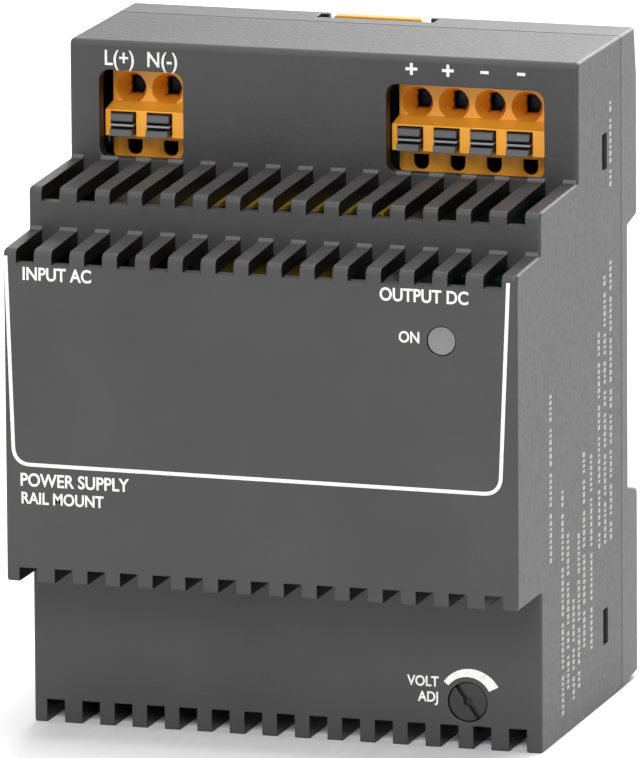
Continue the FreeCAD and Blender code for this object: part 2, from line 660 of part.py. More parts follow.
def board_screws():
    """Four self-tapping screws that hold the main board on the base posts."""
    head_t = 1.8
    cross_half_l = 1.3
    cross_half_w = 0.3
    screws = []
    for x, z in SCREW_PLACES:
        top = BOARD_Y - head_t
        head = rod(x, top, z, 2.4, head_t)
        cross = [
            box(x - cross_half_l, x + cross_half_l, top - 1, top + 0.8, z - cross_half_w, z + cross_half_w),
            box(x - cross_half_w, x + cross_half_w, top - 1, top + 0.8, z - cross_half_l, z + cross_half_l)]
        shank = rod(x, BOARD_Y - 0.1, z, SCREW_R, 5.6)
        screws.append(fuse([head.cut(cross), shank]))
    return Part.makeCompound(screws)


def insulation_sheet():
    """Thin sheet between the solder side and the base, between the upper and lower posts."""
    rear = RAIL_Y - WALL
    return box(-31.5, 31.5, rear - SHEET_T, rear, *SHEET_Z)


# ---- transformer ----
def around_transformer(half_w, half_h, y0, y1):
    """Block centred on the transformer in width and height."""
    return box(TRANSFORMER_X - half_w, TRANSFORMER_X + half_w, y0, y1,
               TRANSFORMER_Z - half_h, TRANSFORMER_Z + half_h)


def transformer_core():
    """Two E cores that meet in the coil: a frame with two windows and a middle leg."""
    core = around_transformer(CORE_HALF_W, CORE_HALF_H, *CORE_Y)
    inner = around_transformer(CORE_HALF_W - CORE_LEG, CORE_WINDOW_HALF_H, CORE_Y[0] - 1, CORE_Y[1] + 1)
    middle_leg = around_transformer(CORE_MIDDLE_HALF_W, CORE_HALF_H, *CORE_Y)
    return core.cut(inner).fuse(middle_leg).removeSplitter()


def transformer_bobbin():
    """Coil former: a sleeve on the middle leg, two flanges and two pin rails on the board."""
    front = CORE_Y[0]
    rear = CORE_Y[1]
    low, high = BOBBIN_FLANGE_H
    parts = [around_transformer(BOBBIN_SLEEVE_HALF_W, high, front - 1, rear + 1)]
    for side in (-1, 1):
        flange = sorted((TRANSFORMER_Z + side * low, TRANSFORMER_Z + side * high))
        left = TRANSFORMER_X - BOBBIN_HALF_W
        right = TRANSFORMER_X + BOBBIN_HALF_W
        parts.append(box(left, right, BOBBIN_FRONT_Y, PIN_RAIL_Y + 0.6, *flange))
        rail = sorted((TRANSFORMER_Z + side * low, TRANSFORMER_Z + side * PIN_RAIL_H))
        parts.append(box(left - 2.5, right + 2.5, PIN_RAIL_Y, BOARD_Y, *rail))
    bobbin = fuse(parts)
    return bobbin.cut(around_transformer(CORE_MIDDLE_HALF_W + 0.1, 12.0, front - 0.1, rear + 0.1))


def transformer_winding():
    """Wound coil under tape, a rounded ring around the former's sleeve."""
    corners = []
    for side, y in ((-1, COIL_Y[0]), (1, COIL_Y[0]), (1, COIL_Y[1]), (-1, COIL_Y[1])):
        corners.append((V(TRANSFORMER_X + side * COIL_HALF_W, y, TRANSFORMER_Z - COIL_HALF_H), COIL_R))
    ring = Part.Face(outline_wire(corners)).extrude(V(0, 0, 2 * COIL_HALF_H))
    sleeve = around_transformer(BOBBIN_SLEEVE_HALF_W + 0.05, 12.0, CORE_Y[0] - 1.05, CORE_Y[1] + 1.05)
    return ring.cut(sleeve)


def transformer_tape():
    """Band of tape around the outside of the core."""
    half_w = CORE_HALF_W + TAPE_T
    half_h = CORE_HALF_H + TAPE_T
    outer = rounded_front_box(TRANSFORMER_X - half_w, TRANSFORMER_X + half_w, CORE_Y[0] + 1, CORE_Y[1] - 1,
                              TRANSFORMER_Z - half_h, TRANSFORMER_Z + half_h, TAPE_T)
    return outer.cut(around_transformer(CORE_HALF_W, CORE_HALF_H, *CORE_Y))


# ---- capacitors and filter parts ----
def can_capacitor(x, z, radius, length):
    """Aluminium can standing on the board, with a crimp groove and a scored vent."""
    groove = 0.35
    score_half_w = 0.15
    tip = BOARD_Y - length
    profile = [(0, BOARD_Y), (radius - 0.3, BOARD_Y), (radius, BOARD_Y - 0.4), (radius, BOARD_Y - 1.9),
               (radius - groove, BOARD_Y - 2.3), (radius, BOARD_Y - 2.7), (radius, tip + 0.5),
               (radius - 0.5, tip), (0, tip)]
    points = [V(x + r, y, z) for r, y in profile]
    can = Part.Face(Part.makePolygon(points + points[:1])).revolve(V(x, 0, z), Y_AXIS, 360)
    reach = radius * 0.62
    vent = [box(x - reach, x + reach, tip - 1, tip + 0.25, z - score_half_w, z + score_half_w),
            box(x - score_half_w, x + score_half_w, tip - 1, tip + 0.25, z - reach, z + reach)]
    return can.cut(vent)


def bulk_capacitor():
    """Mains smoothing capacitor."""
    return can_capacitor(*BULK_PLACE, BULK_R, BULK_LENGTH)


def output_capacitors():
    """Four output smoothing capacitors."""
    cans = [can_capacitor(x, z, OUTPUT_CAN_R, OUTPUT_CAN_LENGTH) for x, z in OUTPUT_CAN_PLACES]
    return Part.makeCompound(cans)


def x_capacitor():
    """Film capacitor across the mains input."""
    case = box(*X_CAPACITOR_X, 2.0, BOARD_Y, *X_CAPACITOR_Z)
    return case.makeFillet(0.6, case.Edges)


def choke_core():
    """Ring core of the input filter choke."""
    length = CHOKE_Y[1] - CHOKE_Y[0]
    ring = rod(CHOKE_X, CHOKE_Y[0], CHOKE_Z, CHOKE_R[1], length)
    return ring.cut(rod(CHOKE_X, CHOKE_Y[0] - 1, CHOKE_Z, CHOKE_R[0], length + 2))


def choke_windings():
    """Two windings of separate turns on opposite halves of the ring core."""
    gap = 0.06
    thickness = 2 * CHOKE_WIRE_R
    inner = box(CHOKE_R[0] - gap, CHOKE_R[1] + gap, CHOKE_Y[0] - gap, CHOKE_Y[1] + gap, -1, 1)
    outer = box(CHOKE_R[0] - gap - thickness, CHOKE_R[1] + gap + thickness, CHOKE_Y[0] - gap - thickness,
                CHOKE_Y[1] + gap + thickness, -CHOKE_WIRE_R, CHOKE_WIRE_R)
    frame = outer.cut(inner)
    turns = []
    for side_deg in (0, 180):
        for k in range(CHOKE_TURNS):
            turn = frame.copy()
            turn.rotate(V(0, 0, 0), Y_AXIS, side_deg + CHOKE_STEP_DEG * (k - (CHOKE_TURNS - 1) / 2))
            turn.translate(V(CHOKE_X, 0, CHOKE_Z))
            turns.append(turn)
    return Part.makeCompound(turns)


def choke_base():
    """Plastic plate that keeps the choke off the board."""
    return rod(CHOKE_X, BOARD_Y - 2.0, CHOKE_Z, 7.2, 2.0)


def disc_part(x, y, z, radius, thickness):
    """Coated disc standing on edge, axis along Z, with two leads down to the board."""
    disc = rod(x, y, z - thickness / 2, radius, thickness, Z_AXIS)
    rims = [edge for edge in disc.Edges if edge.Curve.TypeId == "Part::GeomCircle"]
    disc = disc.makeFillet(thickness * 0.3, rims)
    leads = [rod(x + side * radius * 0.55, y, z, 0.35, BOARD_Y - y) for side in (-1, 1)]
    return fuse([disc] + leads)


def y_capacitors():
    """Two safety capacitors between the input and output sides."""
    discs = [disc_part(x, 11.0, 11.0, Y_CAPACITOR_R, Y_CAPACITOR_T) for x in Y_CAPACITOR_X]
    return Part.makeCompound(discs)


def varistor():
    """Surge arrester disc at the input."""
    radius = 4.8
    return disc_part(-12.4, BOARD_Y - radius - 1.8, INPUT_DISC_Z, radius, INPUT_DISC_T)


def inrush_thermistor():
    """Disc that limits the inrush current."""
    radius = 4.4
    return disc_part(-1.4, BOARD_Y - radius - 1.7, INPUT_DISC_Z, radius, INPUT_DISC_T)


def fuse_rod(x, radius, length):
    """Cylinder on the fuse's axis."""
    return rod(x, FUSE_Y, FUSE_Z, radius, length, X_AXIS)


def fuse_tube():
    """Glass tube of the input fuse."""
    length = FUSE_X[1] - FUSE_X[0] - 2
    return fuse_rod(FUSE_X[0] + 1, FUSE_GLASS_R[1], length).cut(
        fuse_rod(FUSE_X[0], FUSE_GLASS_R[0], length + 2))


def fuse_caps():
    """Metal end caps of the fuse and the wire between them."""
    bore_r = FUSE_GLASS_R[1] + 0.02
    left = fuse_rod(FUSE_X[0], FUSE_CAP_R, FUSE_CAP_L).cut(fuse_rod(FUSE_X[0] + 0.5, bore_r, FUSE_CAP_L))
    right_start = FUSE_X[1] - FUSE_CAP_L
    right = fuse_rod(right_start, FUSE_CAP_R, FUSE_CAP_L).cut(fuse_rod(right_start - 0.5, bore_r, FUSE_CAP_L))
    wire = fuse_rod(FUSE_X[0] + 0.4, 0.15, FUSE_X[1] - FUSE_X[0] - 0.8)
    return fuse([left, right, wire])


def fuse_clips():
    """Two spring clips that hold the fuse on the board."""
    width = 4.0
    inner_r = FUSE_CAP_R + 0.05
    clips = []
    for x in (FUSE_X[0] + 0.6, FUSE_X[1] - width - 0.6):
        ring = fuse_rod(x, inner_r + 0.4, width).cut(fuse_rod(x - 1, inner_r, width + 2))
        mouth = box(x - 1, x + width + 1, FUSE_Y - 5, FUSE_Y - 1.8, FUSE_Z - 4, FUSE_Z + 4)
        foot = box(x, x + width, FUSE_Y + inner_r + 0.1, BOARD_Y, FUSE_Z - 0.5, FUSE_Z + 0.5)
        clips.append(fuse([ring.cut(mouth), foot]))
    return Part.makeCompound(clips)


# ---- semiconductors and heat sinks ----
def bridge_rectifier():
    """Flat four-lead rectifier standing on the board."""
    left, right = RECTIFIER_X
    low, high = RECTIFIER_Z
    block = box(left, right, 2.5, BOARD_Y - 2.5, low, high)
    shapes = [block.makeChamfer(0.4, block.Edges)]
    middle = (low + high) / 2
    for k in range(4):
        x = left + 1.5 + 3.8 * k
        shapes.append(box(x, x + 0.8, BOARD_Y - 2.6, BOARD_Y, middle - 0.2, middle + 0.3))
    return fuse(shapes)


def primary_heat_sink():
    """Bent aluminium plate for the switching transistor."""
    left, right = PRIMARY_SINK_X
    low = PRIMARY_SINK_Z
    plate = box(left, right, SINK_FRONT_Y, BOARD_Y, low, low + SINK_T)
    fold = box(left, right, SINK_FRONT_Y, SINK_FRONT_Y + SINK_T, low, low + 5.5)
    hole = rod(TRANSISTOR_X, SINK_SCREW_Y, low - 4, SINK_HOLE_R, SINK_T + 6, Z_AXIS)
    return fuse([plate, fold]).cut(hole)


def secondary_heat_sink():
    """Bent aluminium plate for the output rectifier."""
    left = SECONDARY_SINK_X
    plate = box(left, left + SINK_T, SINK_FRONT_Y, BOARD_Y, *SECONDARY_SINK_Z)
    fold = box(left, left + 5.9, SINK_FRONT_Y, SINK_FRONT_Y + SINK_T, *SECONDARY_SINK_Z)
    hole = rod(left - 1, SINK_SCREW_Y, DIODE_Z, SINK_HOLE_R, SINK_T + 2, X_AXIS)
    return fuse([plate, fold]).cut(hole)


def power_package():
    """Three-lead power package lying along -Y, its metal back on the plane z = 0, body below."""
    half = PACKAGE_W / 2
    tab = box(-half, half, -PACKAGE_L, 0, -1.3, 0)
    body = box(-half, half, -9.0, 0, -PACKAGE_T, 0)
    hole = rod(0, SINK_SCREW_Y - PACKAGE_Y, -3.0, 1.7, 5.0, Z_AXIS)
    package = fuse([tab, body]).cut(hole)
    leads = []
    for k in (-1, 0, 1):
        x = PACKAGE_LEAD_PITCH * k
        leads.append(box(x - 0.4, x + 0.4, -0.1, BOARD_Y - PACKAGE_Y, -2.7, -2.2))
    return fuse([package] + leads)


def switching_transistor():
    """Switching transistor clamped to the primary heat sink."""
    package = power_package()
    package.translate(V(TRANSISTOR_X, PACKAGE_Y, PRIMARY_SINK_Z))
    return package


def output_diode():
    """Output rectifier clamped to the secondary heat sink."""
    package = power_package()
    package.rotate(V(0, 0, 0), Y_AXIS, -90)
    package.translate(V(SECONDARY_SINK_X + SINK_T, PACKAGE_Y, DIODE_Z))
    return package


def heat_sink_screws():
    """Screw with its head that clamps each power package to its heat sink."""
    shank_r = SINK_HOLE_R - 0.15
    head_r = 2.6
    head_t = 2.1
    head_z = PRIMARY_SINK_Z - 1.3 - head_t
    first = fuse([rod(TRANSISTOR_X, SINK_SCREW_Y, head_z + 0.4, shank_r, 6.5, Z_AXIS),
                  rod(TRANSISTOR_X, SINK_SCREW_Y, head_z, head_r, head_t, Z_AXIS)])
    head_x = SECONDARY_SINK_X + SINK_T + 1.3
    second = fuse([rod(SECONDARY_SINK_X - 1, SINK_SCREW_Y, DIODE_Z, shank_r, 6.5, X_AXIS),
                   rod(head_x, SINK_SCREW_Y, DIODE_Z, head_r, head_t, X_AXIS)])
    return Part.makeCompound([first, second])


def output_inductor_core():
    """Drum core of the output filter choke."""
    x, z = INDUCTOR_PLACE
    flange_t = 1.6
    front = 5.0
    waist = rod(x, front, z, 3.0, BOARD_Y - front)
    return fuse([waist, rod(x, front, z, INDUCTOR_R, flange_t),
                 rod(x, BOARD_Y - flange_t, z, INDUCTOR_R, flange_t)])


def output_inductor_winding():
    """Copper winding of the output choke, wound in turns side by side."""
    x, z = INDUCTOR_PLACE
    turns = 8
    start = 6.7
    end = 14.3
    pitch = (end - start) / turns
    inner_r = 3.05
    valley_r = 4.6
    outline = [(inner_r, start), (inner_r, end)]
    for k in reversed(range(turns)):
        low = start + pitch * k
        outline += [(valley_r, low + pitch), (valley_r + 0.35, low + pitch / 2), (valley_r, low + 0.05)]
    points = [V(x + r, y, z) for r, y in outline]
    return Part.Face(Part.makePolygon(points + points[:1])).revolve(V(x, 0, z), Y_AXIS, 360)


def optocouplers():
    """Two four-pin couplers that carry the feedback across the insulation gap."""
    low, high = COUPLER_Z
    reach = 1.0
    leg = 0.3
    shapes = []
    for x in COUPLER_X:
        parts = [box(x - 2.3, x + 2.3, BOARD_Y - 3.7, BOARD_Y - 0.5, low, high)]
        for leg_x in (x - 1.27, x + 1.27):
            left = leg_x - 0.25
            right = leg_x + 0.25
            parts.append(box(left, right, BOARD_Y - 2.2, BOARD_Y - 1.9, low - reach, high + reach))
            parts.append(box(left, right, BOARD_Y - 2.2, BOARD_Y, low - reach, low - reach + leg))
            parts.append(box(left, right, BOARD_Y - 2.2, BOARD_Y, high + reach - leg, high + reach))
        shapes.append(fuse(parts))
    return Part.makeCompound(shapes)


def build():
    """Every sub-part by node name."""
    nodes = {
        "front_cover": front_cover(),
        "rear_base": rear_base(),
        "rail_latch": rail_latch(),
        "latch_spring": latch_spring(),
        "input_terminal_housing": terminal_housing(INPUT_LEFT, INPUT_POLES),
        "output_terminal_housing": terminal_housing(OUTPUT_LEFT, OUTPUT_POLES),
        "input_current_bars": current_bars(INPUT_LEFT, INPUT_POLES),
        "output_current_bars": current_bars(OUTPUT_LEFT, OUTPUT_POLES),
    }
    for side, left, poles in (("input", INPUT_LEFT, INPUT_POLES), ("output", OUTPUT_LEFT, OUTPUT_POLES)):
        for number, x in enumerate(pole_places(left, poles), 1):
            nodes[f"{side}_release_button_{number}"] = release_button(x)
            nodes[f"{side}_clamp_spring_{number}"] = clamp_spring(x)
    makers = [
        light_pipe, status_led, led_holder, trimmer_body, voltage_adjuster, main_board, control_board,
        controller_chip, board_screws, insulation_sheet, transformer_core, transformer_bobbin,
        transformer_winding, transformer_tape, bulk_capacitor, output_capacitors, x_capacitor, choke_core,
        choke_windings, choke_base, y_capacitors, varistor, inrush_thermistor, fuse_tube, fuse_caps,
        fuse_clips, bridge_rectifier, primary_heat_sink, secondary_heat_sink, switching_transistor,
        output_diode, heat_sink_screws, output_inductor_core, output_inductor_winding, optocouplers]
    for maker in makers:
        nodes[maker.__name__] = maker()
    return nodes


os.makedirs("parts", exist_ok=True)
for node, shape in build().items():
    shape.exportStep(f"parts/{node}.step")
    print(node, "valid" if shape.isValid() else "NOT VALID", len(shape.Solids), round(shape.Volume, 1))
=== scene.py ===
import math

import bmesh
import bpy
import numpy as np
from mathutils import Matrix, Vector


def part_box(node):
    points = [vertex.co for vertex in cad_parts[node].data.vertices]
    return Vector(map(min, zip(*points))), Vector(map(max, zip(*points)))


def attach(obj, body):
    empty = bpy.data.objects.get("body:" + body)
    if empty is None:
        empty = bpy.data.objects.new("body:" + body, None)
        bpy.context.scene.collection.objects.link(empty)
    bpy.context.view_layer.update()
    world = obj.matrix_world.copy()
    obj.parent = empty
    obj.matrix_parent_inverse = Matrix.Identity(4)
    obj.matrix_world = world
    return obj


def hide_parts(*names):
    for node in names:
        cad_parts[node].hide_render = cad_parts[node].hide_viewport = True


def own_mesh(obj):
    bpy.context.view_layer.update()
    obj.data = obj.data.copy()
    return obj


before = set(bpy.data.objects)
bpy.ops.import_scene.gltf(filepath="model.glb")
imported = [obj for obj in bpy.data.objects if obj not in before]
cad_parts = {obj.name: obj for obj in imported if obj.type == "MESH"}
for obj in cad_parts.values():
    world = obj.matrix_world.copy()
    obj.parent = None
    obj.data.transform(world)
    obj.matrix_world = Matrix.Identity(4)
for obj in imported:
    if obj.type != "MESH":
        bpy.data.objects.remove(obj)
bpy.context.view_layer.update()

MM = 0.001

# ---- places worked out from the frame, in millimetres ----


def box_mm(node):
    """Lowest and highest corner of a CAD node, in millimetres."""
    low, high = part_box(node)
    return low / MM, high / MM


COVER_LOW, COVER_HIGH = box_mm("front_cover")
INPUT_LOW, _ = box_mm("input_terminal_housing")
OUTPUT_LOW, _ = box_mm("output_terminal_housing")
ADJUSTER_LOW, ADJUSTER_HIGH = box_mm("voltage_adjuster")
ADJUSTER_SETBACK = 0.2
HOUSING_SETBACK = 2.3
NOSE_FACE = COVER_LOW.y
LOWER_FACE = ADJUSTER_LOW.y - ADJUSTER_SETBACK
TERMINAL_FACE = INPUT_LOW.y - HOUSING_SETBACK
SIDE_FACE = COVER_HIGH.x
NOSE_TOP = 66.0
POLE_PITCH = 5.08

# vent slots, and the fillets at the roots of the ribs between them
SLOT_WIDTH = 2.5
SLOT_PITCH = 4.56
SLOT_END_PITCH = 4.95
SLOT_MIDDLE_X = -0.15
SLOT_INNER_COUNT = 13
NOSE_ROOF_REAR = 67.5
MIDDLE_ROOF_REAR = 73.8
FILLET_RADIUS = 0.45
FILLET_END_INSET = 0.3
FILLET_BEHIND_WALL = 0.05
FILLET_BELOW_ROOF = 0.1

# latch spring: wire radius and turns
SPRING_WIRE = 0.22
SPRING_TURNS = 9

# print: film thickness, word width, letter sizes and stroke weights
FILM = 0.03
WORD_NARROWING = 0.88
LARGE_LETTER = 2.45
MIDDLE_LETTER = 2.2
LAMP_LETTER = 2.1
ADJUSTER_LETTER = 1.95
POLE_LETTER = 2.9
SIDE_LETTER = 1.05
HEAVY = 0.05
LIGHT = 0.04
NOSE_LINE_WIDTH = 0.5
NOSE_LINE_RADIUS = 2.4
SIGN_HEIGHT = 88.2
SIGN_SHIFT = 0.9
PLUS_LENGTH = 1.65
MINUS_LENGTH = 1.15
SIGN_HALF_WIDTH = 0.2
SCALE_LIFT = 0.1
SCALE_RADIUS = 3.35
SCALE_WIDTHS = (0.8, 1.45)
SCALE_START = 142
SCALE_END = 27
BLOCK_SHORTEST = 0.35
BLOCK_LONGEST = 0.7
BLOCK_GAP = 0.32
WORD_GAP = 0.7
WORD_FEWEST = 3
WORD_LIMIT = 9

# lines of the side print: Y of the line, and Z of its lower and upper end
SIDE_LINES = [
    (-13.5, 25.0, 47.5), (-7.9, 3.0, 33.5), (-5.3, 6.0, 27.0), (-2.7, 4.0, 18.0), (-0.1, 5.0, 26.5),
    (2.5, 10.0, 37.0), (6.0, 9.0, 36.0), (9.9, 22.0, 52.0), (12.8, 22.0, 59.0), (15.7, 22.0, 60.0),
    (15.8, 70.5, 82.0)]

# painted shade in the recesses and a painted highlight on the button ridge, in metres and as parts
# of the full colour
SIDEWAYS = 0.5
SLOT_SHADE = 0.04
POCKET_SPACE = (("Y", 0.0241, 0.027), ("Z", 0.0839, 0.08995))
POCKET_SHADE = 0.1
TEST_HOLE_TOP = 0.0766
SHADE_DEPTH = 0.0004
DEEP_SHADE = 0.03
GROOVE_REACH = 0.00058
GROOVE_PAINTED_SHADE = -0.92
RIDGE_REACH = 0.00013
RIDGE_PAINTED_HIGHLIGHT = 3.4

# most of a noise's values lie between these two
NOISE_LOW = 0.3
NOISE_HIGH = 0.7


# ---- shader node helpers ----
def add_node(tree, kind, **settings):
    """New node of a kind, with its settings."""
    node = tree.nodes.new(kind)
    for name, value in settings.items():
        setattr(node, name, value)
    return node


def feed(tree, socket, value):
    """Link an output socket to an input, or set the input's own value."""
    if isinstance(value, bpy.types.NodeSocket):
        tree.links.new(value, socket)
    else:
        socket.default_value = value


def math_node(tree, operation, first, second=0.5):
    """Result of one math operation."""
    node = add_node(tree, "ShaderNodeMath", operation=operation)
    feed(tree, node.inputs[0], first)
    feed(tree, node.inputs[1], second)
    return node.outputs[0]


def noise(tree, vector, scale, detail=3.0, roughness=0.55):
    """Noise value between 0 and 1."""
    node = add_node(tree, "ShaderNodeTexNoise")
    feed(tree, node.inputs["Vector"], vector)
    feed(tree, node.inputs["Scale"], scale)
    node.inputs["Detail"].default_value = detail
    node.inputs["Roughness"].default_value = roughness
    return node.outputs["Fac"]


def remap(tree, value, low, high, to_low=0.0, to_high=1.0):
    """Value stretched from one range to another, held at both ends."""
    node = add_node(tree, "ShaderNodeMapRange")
    feed(tree, node.inputs["Value"], value)
    node.inputs["From Min"].default_value = low
    node.inputs["From Max"].default_value = high
    node.inputs["To Min"].default_value = to_low
    node.inputs["To Max"].default_value = to_high
    return node.outputs["Result"]


def spread(tree, value, low, high):
    """Noise over its usual span, stretched to run from one value to another."""
    return remap(tree, value, NOISE_LOW, NOISE_HIGH, low, high)


def mix_colour(tree, factor, first, second):
    """Blend of two colours."""
    node = add_node(tree, "ShaderNodeMix", data_type="RGBA")
    feed(tree, node.inputs[0], factor)
    feed(tree, node.inputs[6], first)
    feed(tree, node.inputs[7], second)
    return node.outputs[2]


def object_point(tree):
    """Object coordinates in metres."""
    return add_node(tree, "ShaderNodeTexCoord").outputs["Object"]


def new_group(name, inputs, outputs):
    """Empty shader node group with named sockets, and its input and output nodes."""
    group = bpy.data.node_groups.new(name, "ShaderNodeTree")
    for label, kind, value in inputs:
        socket = group.interface.new_socket(name=label, in_out="INPUT", socket_type=kind)
        if value is not None:
            socket.default_value = value
    for label, kind in outputs:
        group.interface.new_socket(name=label, in_out="OUTPUT", socket_type=kind)
    return group, group.nodes.new("NodeGroupInput"), group.nodes.new("NodeGroupOutput")


def mould_grain_group():
    """Spark-eroded mould texture: fine cells over soft waves, with slow cloudy tone.

    Height is 0.7 of a fine noise plus 0.3 of a coarser one. Tone is a slow noise from 0 to 1.
    """
    group, given, result = new_group(
        "mould_grain", [("Grain", "NodeSocketFloat", 2600.0)],
        [("Height", "NodeSocketFloat"), ("Tone", "NodeSocketFloat")])
    point = object_point(group)
    fine = noise(group, point, given.outputs["Grain"], 2.0, 0.5)
    soft = noise(group, point, 700.0, 2.0)
    fine_part = math_node(group, "MULTIPLY", fine, 0.7)
    soft_part = math_node(group, "MULTIPLY", soft, 0.3)
    group.links.new(math_node(group, "ADD", fine_part, soft_part), result.inputs["Height"])
    tone = spread(group, noise(group, point, 55.0, 4.0), 0.0, 1.0)
    group.links.new(tone, result.inputs["Tone"])
    return group


def edge_wear_group():
    """Where the rounded normal leaves the true one, an edge: Mask is that gap, broken by noise. It
    lightens edges as wear and as a painted highlight.

    The gap is one minus the dot product of the two normals.
    """
    group, given, result = new_group(
        "edge_wear_and_highlight",
        [("Width", "NodeSocketFloat", 0.0003), ("Amount", "NodeSocketFloat", 1.0)],
        [("Mask", "NodeSocketFloat"), ("Normal", "NodeSocketVector")])
    bevel = add_node(group, "ShaderNodeBevel", samples=4)
    group.links.new(given.outputs["Width"], bevel.inputs["Radius"])
    geometry = add_node(group, "ShaderNodeNewGeometry")
    dot = add_node(group, "ShaderNodeVectorMath", operation="DOT_PRODUCT")
    group.links.new(bevel.outputs["Normal"], dot.inputs[0])
    group.links.new(geometry.outputs["Normal"], dot.inputs[1])
    gap = math_node(group, "SUBTRACT", 1.0, dot.outputs["Value"])
    edge = remap(group, gap, 0.02, 0.22)
    edge_breakup = remap(group, noise(group, object_point(group), 900.0, 3.0), 0.35, 0.6, 0.35, 1.0)
    rubbed_and_lit = math_node(group, "MULTIPLY", edge, edge_breakup)
    worn_and_lit = math_node(group, "MULTIPLY", rubbed_and_lit, given.outputs["Amount"])
    group.links.new(worn_and_lit, result.inputs["Mask"])
    group.links.new(bevel.outputs["Normal"], result.inputs["Normal"])
    return group


def axis_parts(tree):
    """Object position and normal, each split into X, Y and Z."""
    place = add_node(tree, "ShaderNodeSeparateXYZ")
    tree.links.new(object_point(tree), place.inputs[0])
    facing = add_node(tree, "ShaderNodeTexCoord")
    normal = add_node(tree, "ShaderNodeSeparateXYZ")
    tree.links.new(facing.outputs["Normal"], normal.inputs[0])
    return place.outputs, normal.outputs


def recess_painted_shade_group():
    """Painted shade on the cover: dark where a wall faces sideways inside the outer sides.

    That is so in the slots and windows. The mask is a sideways normal times a small X.
    """
    group, given, result = new_group(
        "recess_painted_shade", [("Half Width", "NodeSocketFloat", 0.035)], [("Tint", "NodeSocketFloat")])
    place, normal = axis_parts(group)
    turned = math_node(group, "ABSOLUTE", normal["X"])
    from_middle = math_node(group, "ABSOLUTE", place["X"])
    sideways = math_node(group, "GREATER_THAN", turned, SIDEWAYS)
    inside = math_node(group, "LESS_THAN", from_middle, given.outputs["Half Width"])
    mask = math_node(group, "MULTIPLY", sideways, inside)
    group.links.new(remap(group, mask, 0.0, 1.0, 1.0, SLOT_SHADE), result.inputs["Tint"])
    return group


def pocket_painted_shade_group():
    """Painted shade on the base: dark in the latch pocket, the space between three pairs of planes.
    """
    group, given, result = new_group(
        "pocket_painted_shade", [("Half Width", "NodeSocketFloat", 0.0084)], [("Tint", "NodeSocketFloat")])
    place, _ = axis_parts(group)
    from_middle = math_node(group, "ABSOLUTE", place["X"])
    mask = math_node(group, "LESS_THAN", from_middle, given.outputs["Half Width"])
    for axis, low, high in POCKET_SPACE:
        past_low = math_node(group, "GREATER_THAN", place[axis], low)
        before_high = math_node(group, "LESS_THAN", place[axis], high)
        mask = math_node(group, "MULTIPLY", mask, past_low)
        mask = math_node(group, "MULTIPLY", mask, before_high)
    group.links.new(remap(group, mask, 0.0, 1.0, 1.0, POCKET_SHADE), result.inputs["Tint"])
    return group


def depth_painted_shade_group():
    """Painted shade on the terminal plastic: dark deep in the wire funnels and inside the test
    holes.

    Full colour up to a limit in Y, which is nearer below the test holes' top, then dark.
    """
    group, given, result = new_group(
        "depth_painted_shade",
        [("Funnel Y", "NodeSocketFloat", 0.0093), ("Test Hole Y", "NodeSocketFloat", 0.0062)],
        [("Tint", "NodeSocketFloat")])
    place, _ = axis_parts(group)
    lower = math_node(group, "LESS_THAN", place["Z"], TEST_HOLE_TOP)
    limit = add_node(group, "ShaderNodeMix", data_type="FLOAT")
    group.links.new(lower, limit.inputs[0])
    group.links.new(given.outputs["Funnel Y"], limit.inputs[2])
    group.links.new(given.outputs["Test Hole Y"], limit.inputs[3])
    depth = math_node(group, "SUBTRACT", place["Y"], limit.outputs[0])
    tint = remap(group, depth, 0.0, SHADE_DEPTH, 1.0, DEEP_SHADE)
    group.links.new(tint, result.inputs["Tint"])
    return group


def grip_painted_light_group():
    """Painted light on a release button: painted shade in the grooves above and below, a painted
    highlight on the ridge at one height.

    One, less the painted shade within the grooves' reach, plus the painted highlight within the
    ridge's reach.
    """
    group, given, result = new_group(
        "grip_painted_light", [("Ridge Z", "NodeSocketFloat", 0.078275)], [("Tint", "NodeSocketFloat")])
    place, _ = axis_parts(group)
    above = math_node(group, "SUBTRACT", place["Z"], given.outputs["Ridge Z"])
    distance = math_node(group, "ABSOLUTE", above)
    groove = math_node(group, "LESS_THAN", distance, GROOVE_REACH)
    ridge = math_node(group, "LESS_THAN", distance, RIDGE_REACH)
    dark = math_node(group, "MULTIPLY", groove, GROOVE_PAINTED_SHADE)
    bright = math_node(group, "MULTIPLY", ridge, RIDGE_PAINTED_HIGHLIGHT)
    tint = math_node(group, "ADD", math_node(group, "ADD", dark, bright), 1.0)
    group.links.new(tint, result.inputs["Tint"])
    return group


MOULD_GRAIN = mould_grain_group()
EDGE_WEAR_AND_HIGHLIGHT = edge_wear_group()
RECESS_PAINTED_SHADE = recess_painted_shade_group()
POCKET_PAINTED_SHADE = pocket_painted_shade_group()
DEPTH_PAINTED_SHADE = depth_painted_shade_group()
GRIP_PAINTED_LIGHT = grip_painted_light_group()


def new_material(name):
    """Material with its Principled shader, and its tree."""
    material = bpy.data.materials.new(name)
    material.use_nodes = True
    tree = material.node_tree
    return material, tree, tree.nodes["Principled BSDF"]


def bump(tree, height, strength, distance, normal=None):
    """Bump node from a height."""
    node = add_node(tree, "ShaderNodeBump")
    node.inputs["Strength"].default_value = strength
    node.inputs["Distance"].default_value = distance
    tree.links.new(height, node.inputs["Height"])
    if normal is not None:
        tree.links.new(normal, node.inputs["Normal"])
    return node.outputs["Normal"]


def scaled(colour, factor):
    """Colour made lighter or darker."""
    return tuple(min(1.0, c * factor) for c in colour[:3]) + (1.0,)


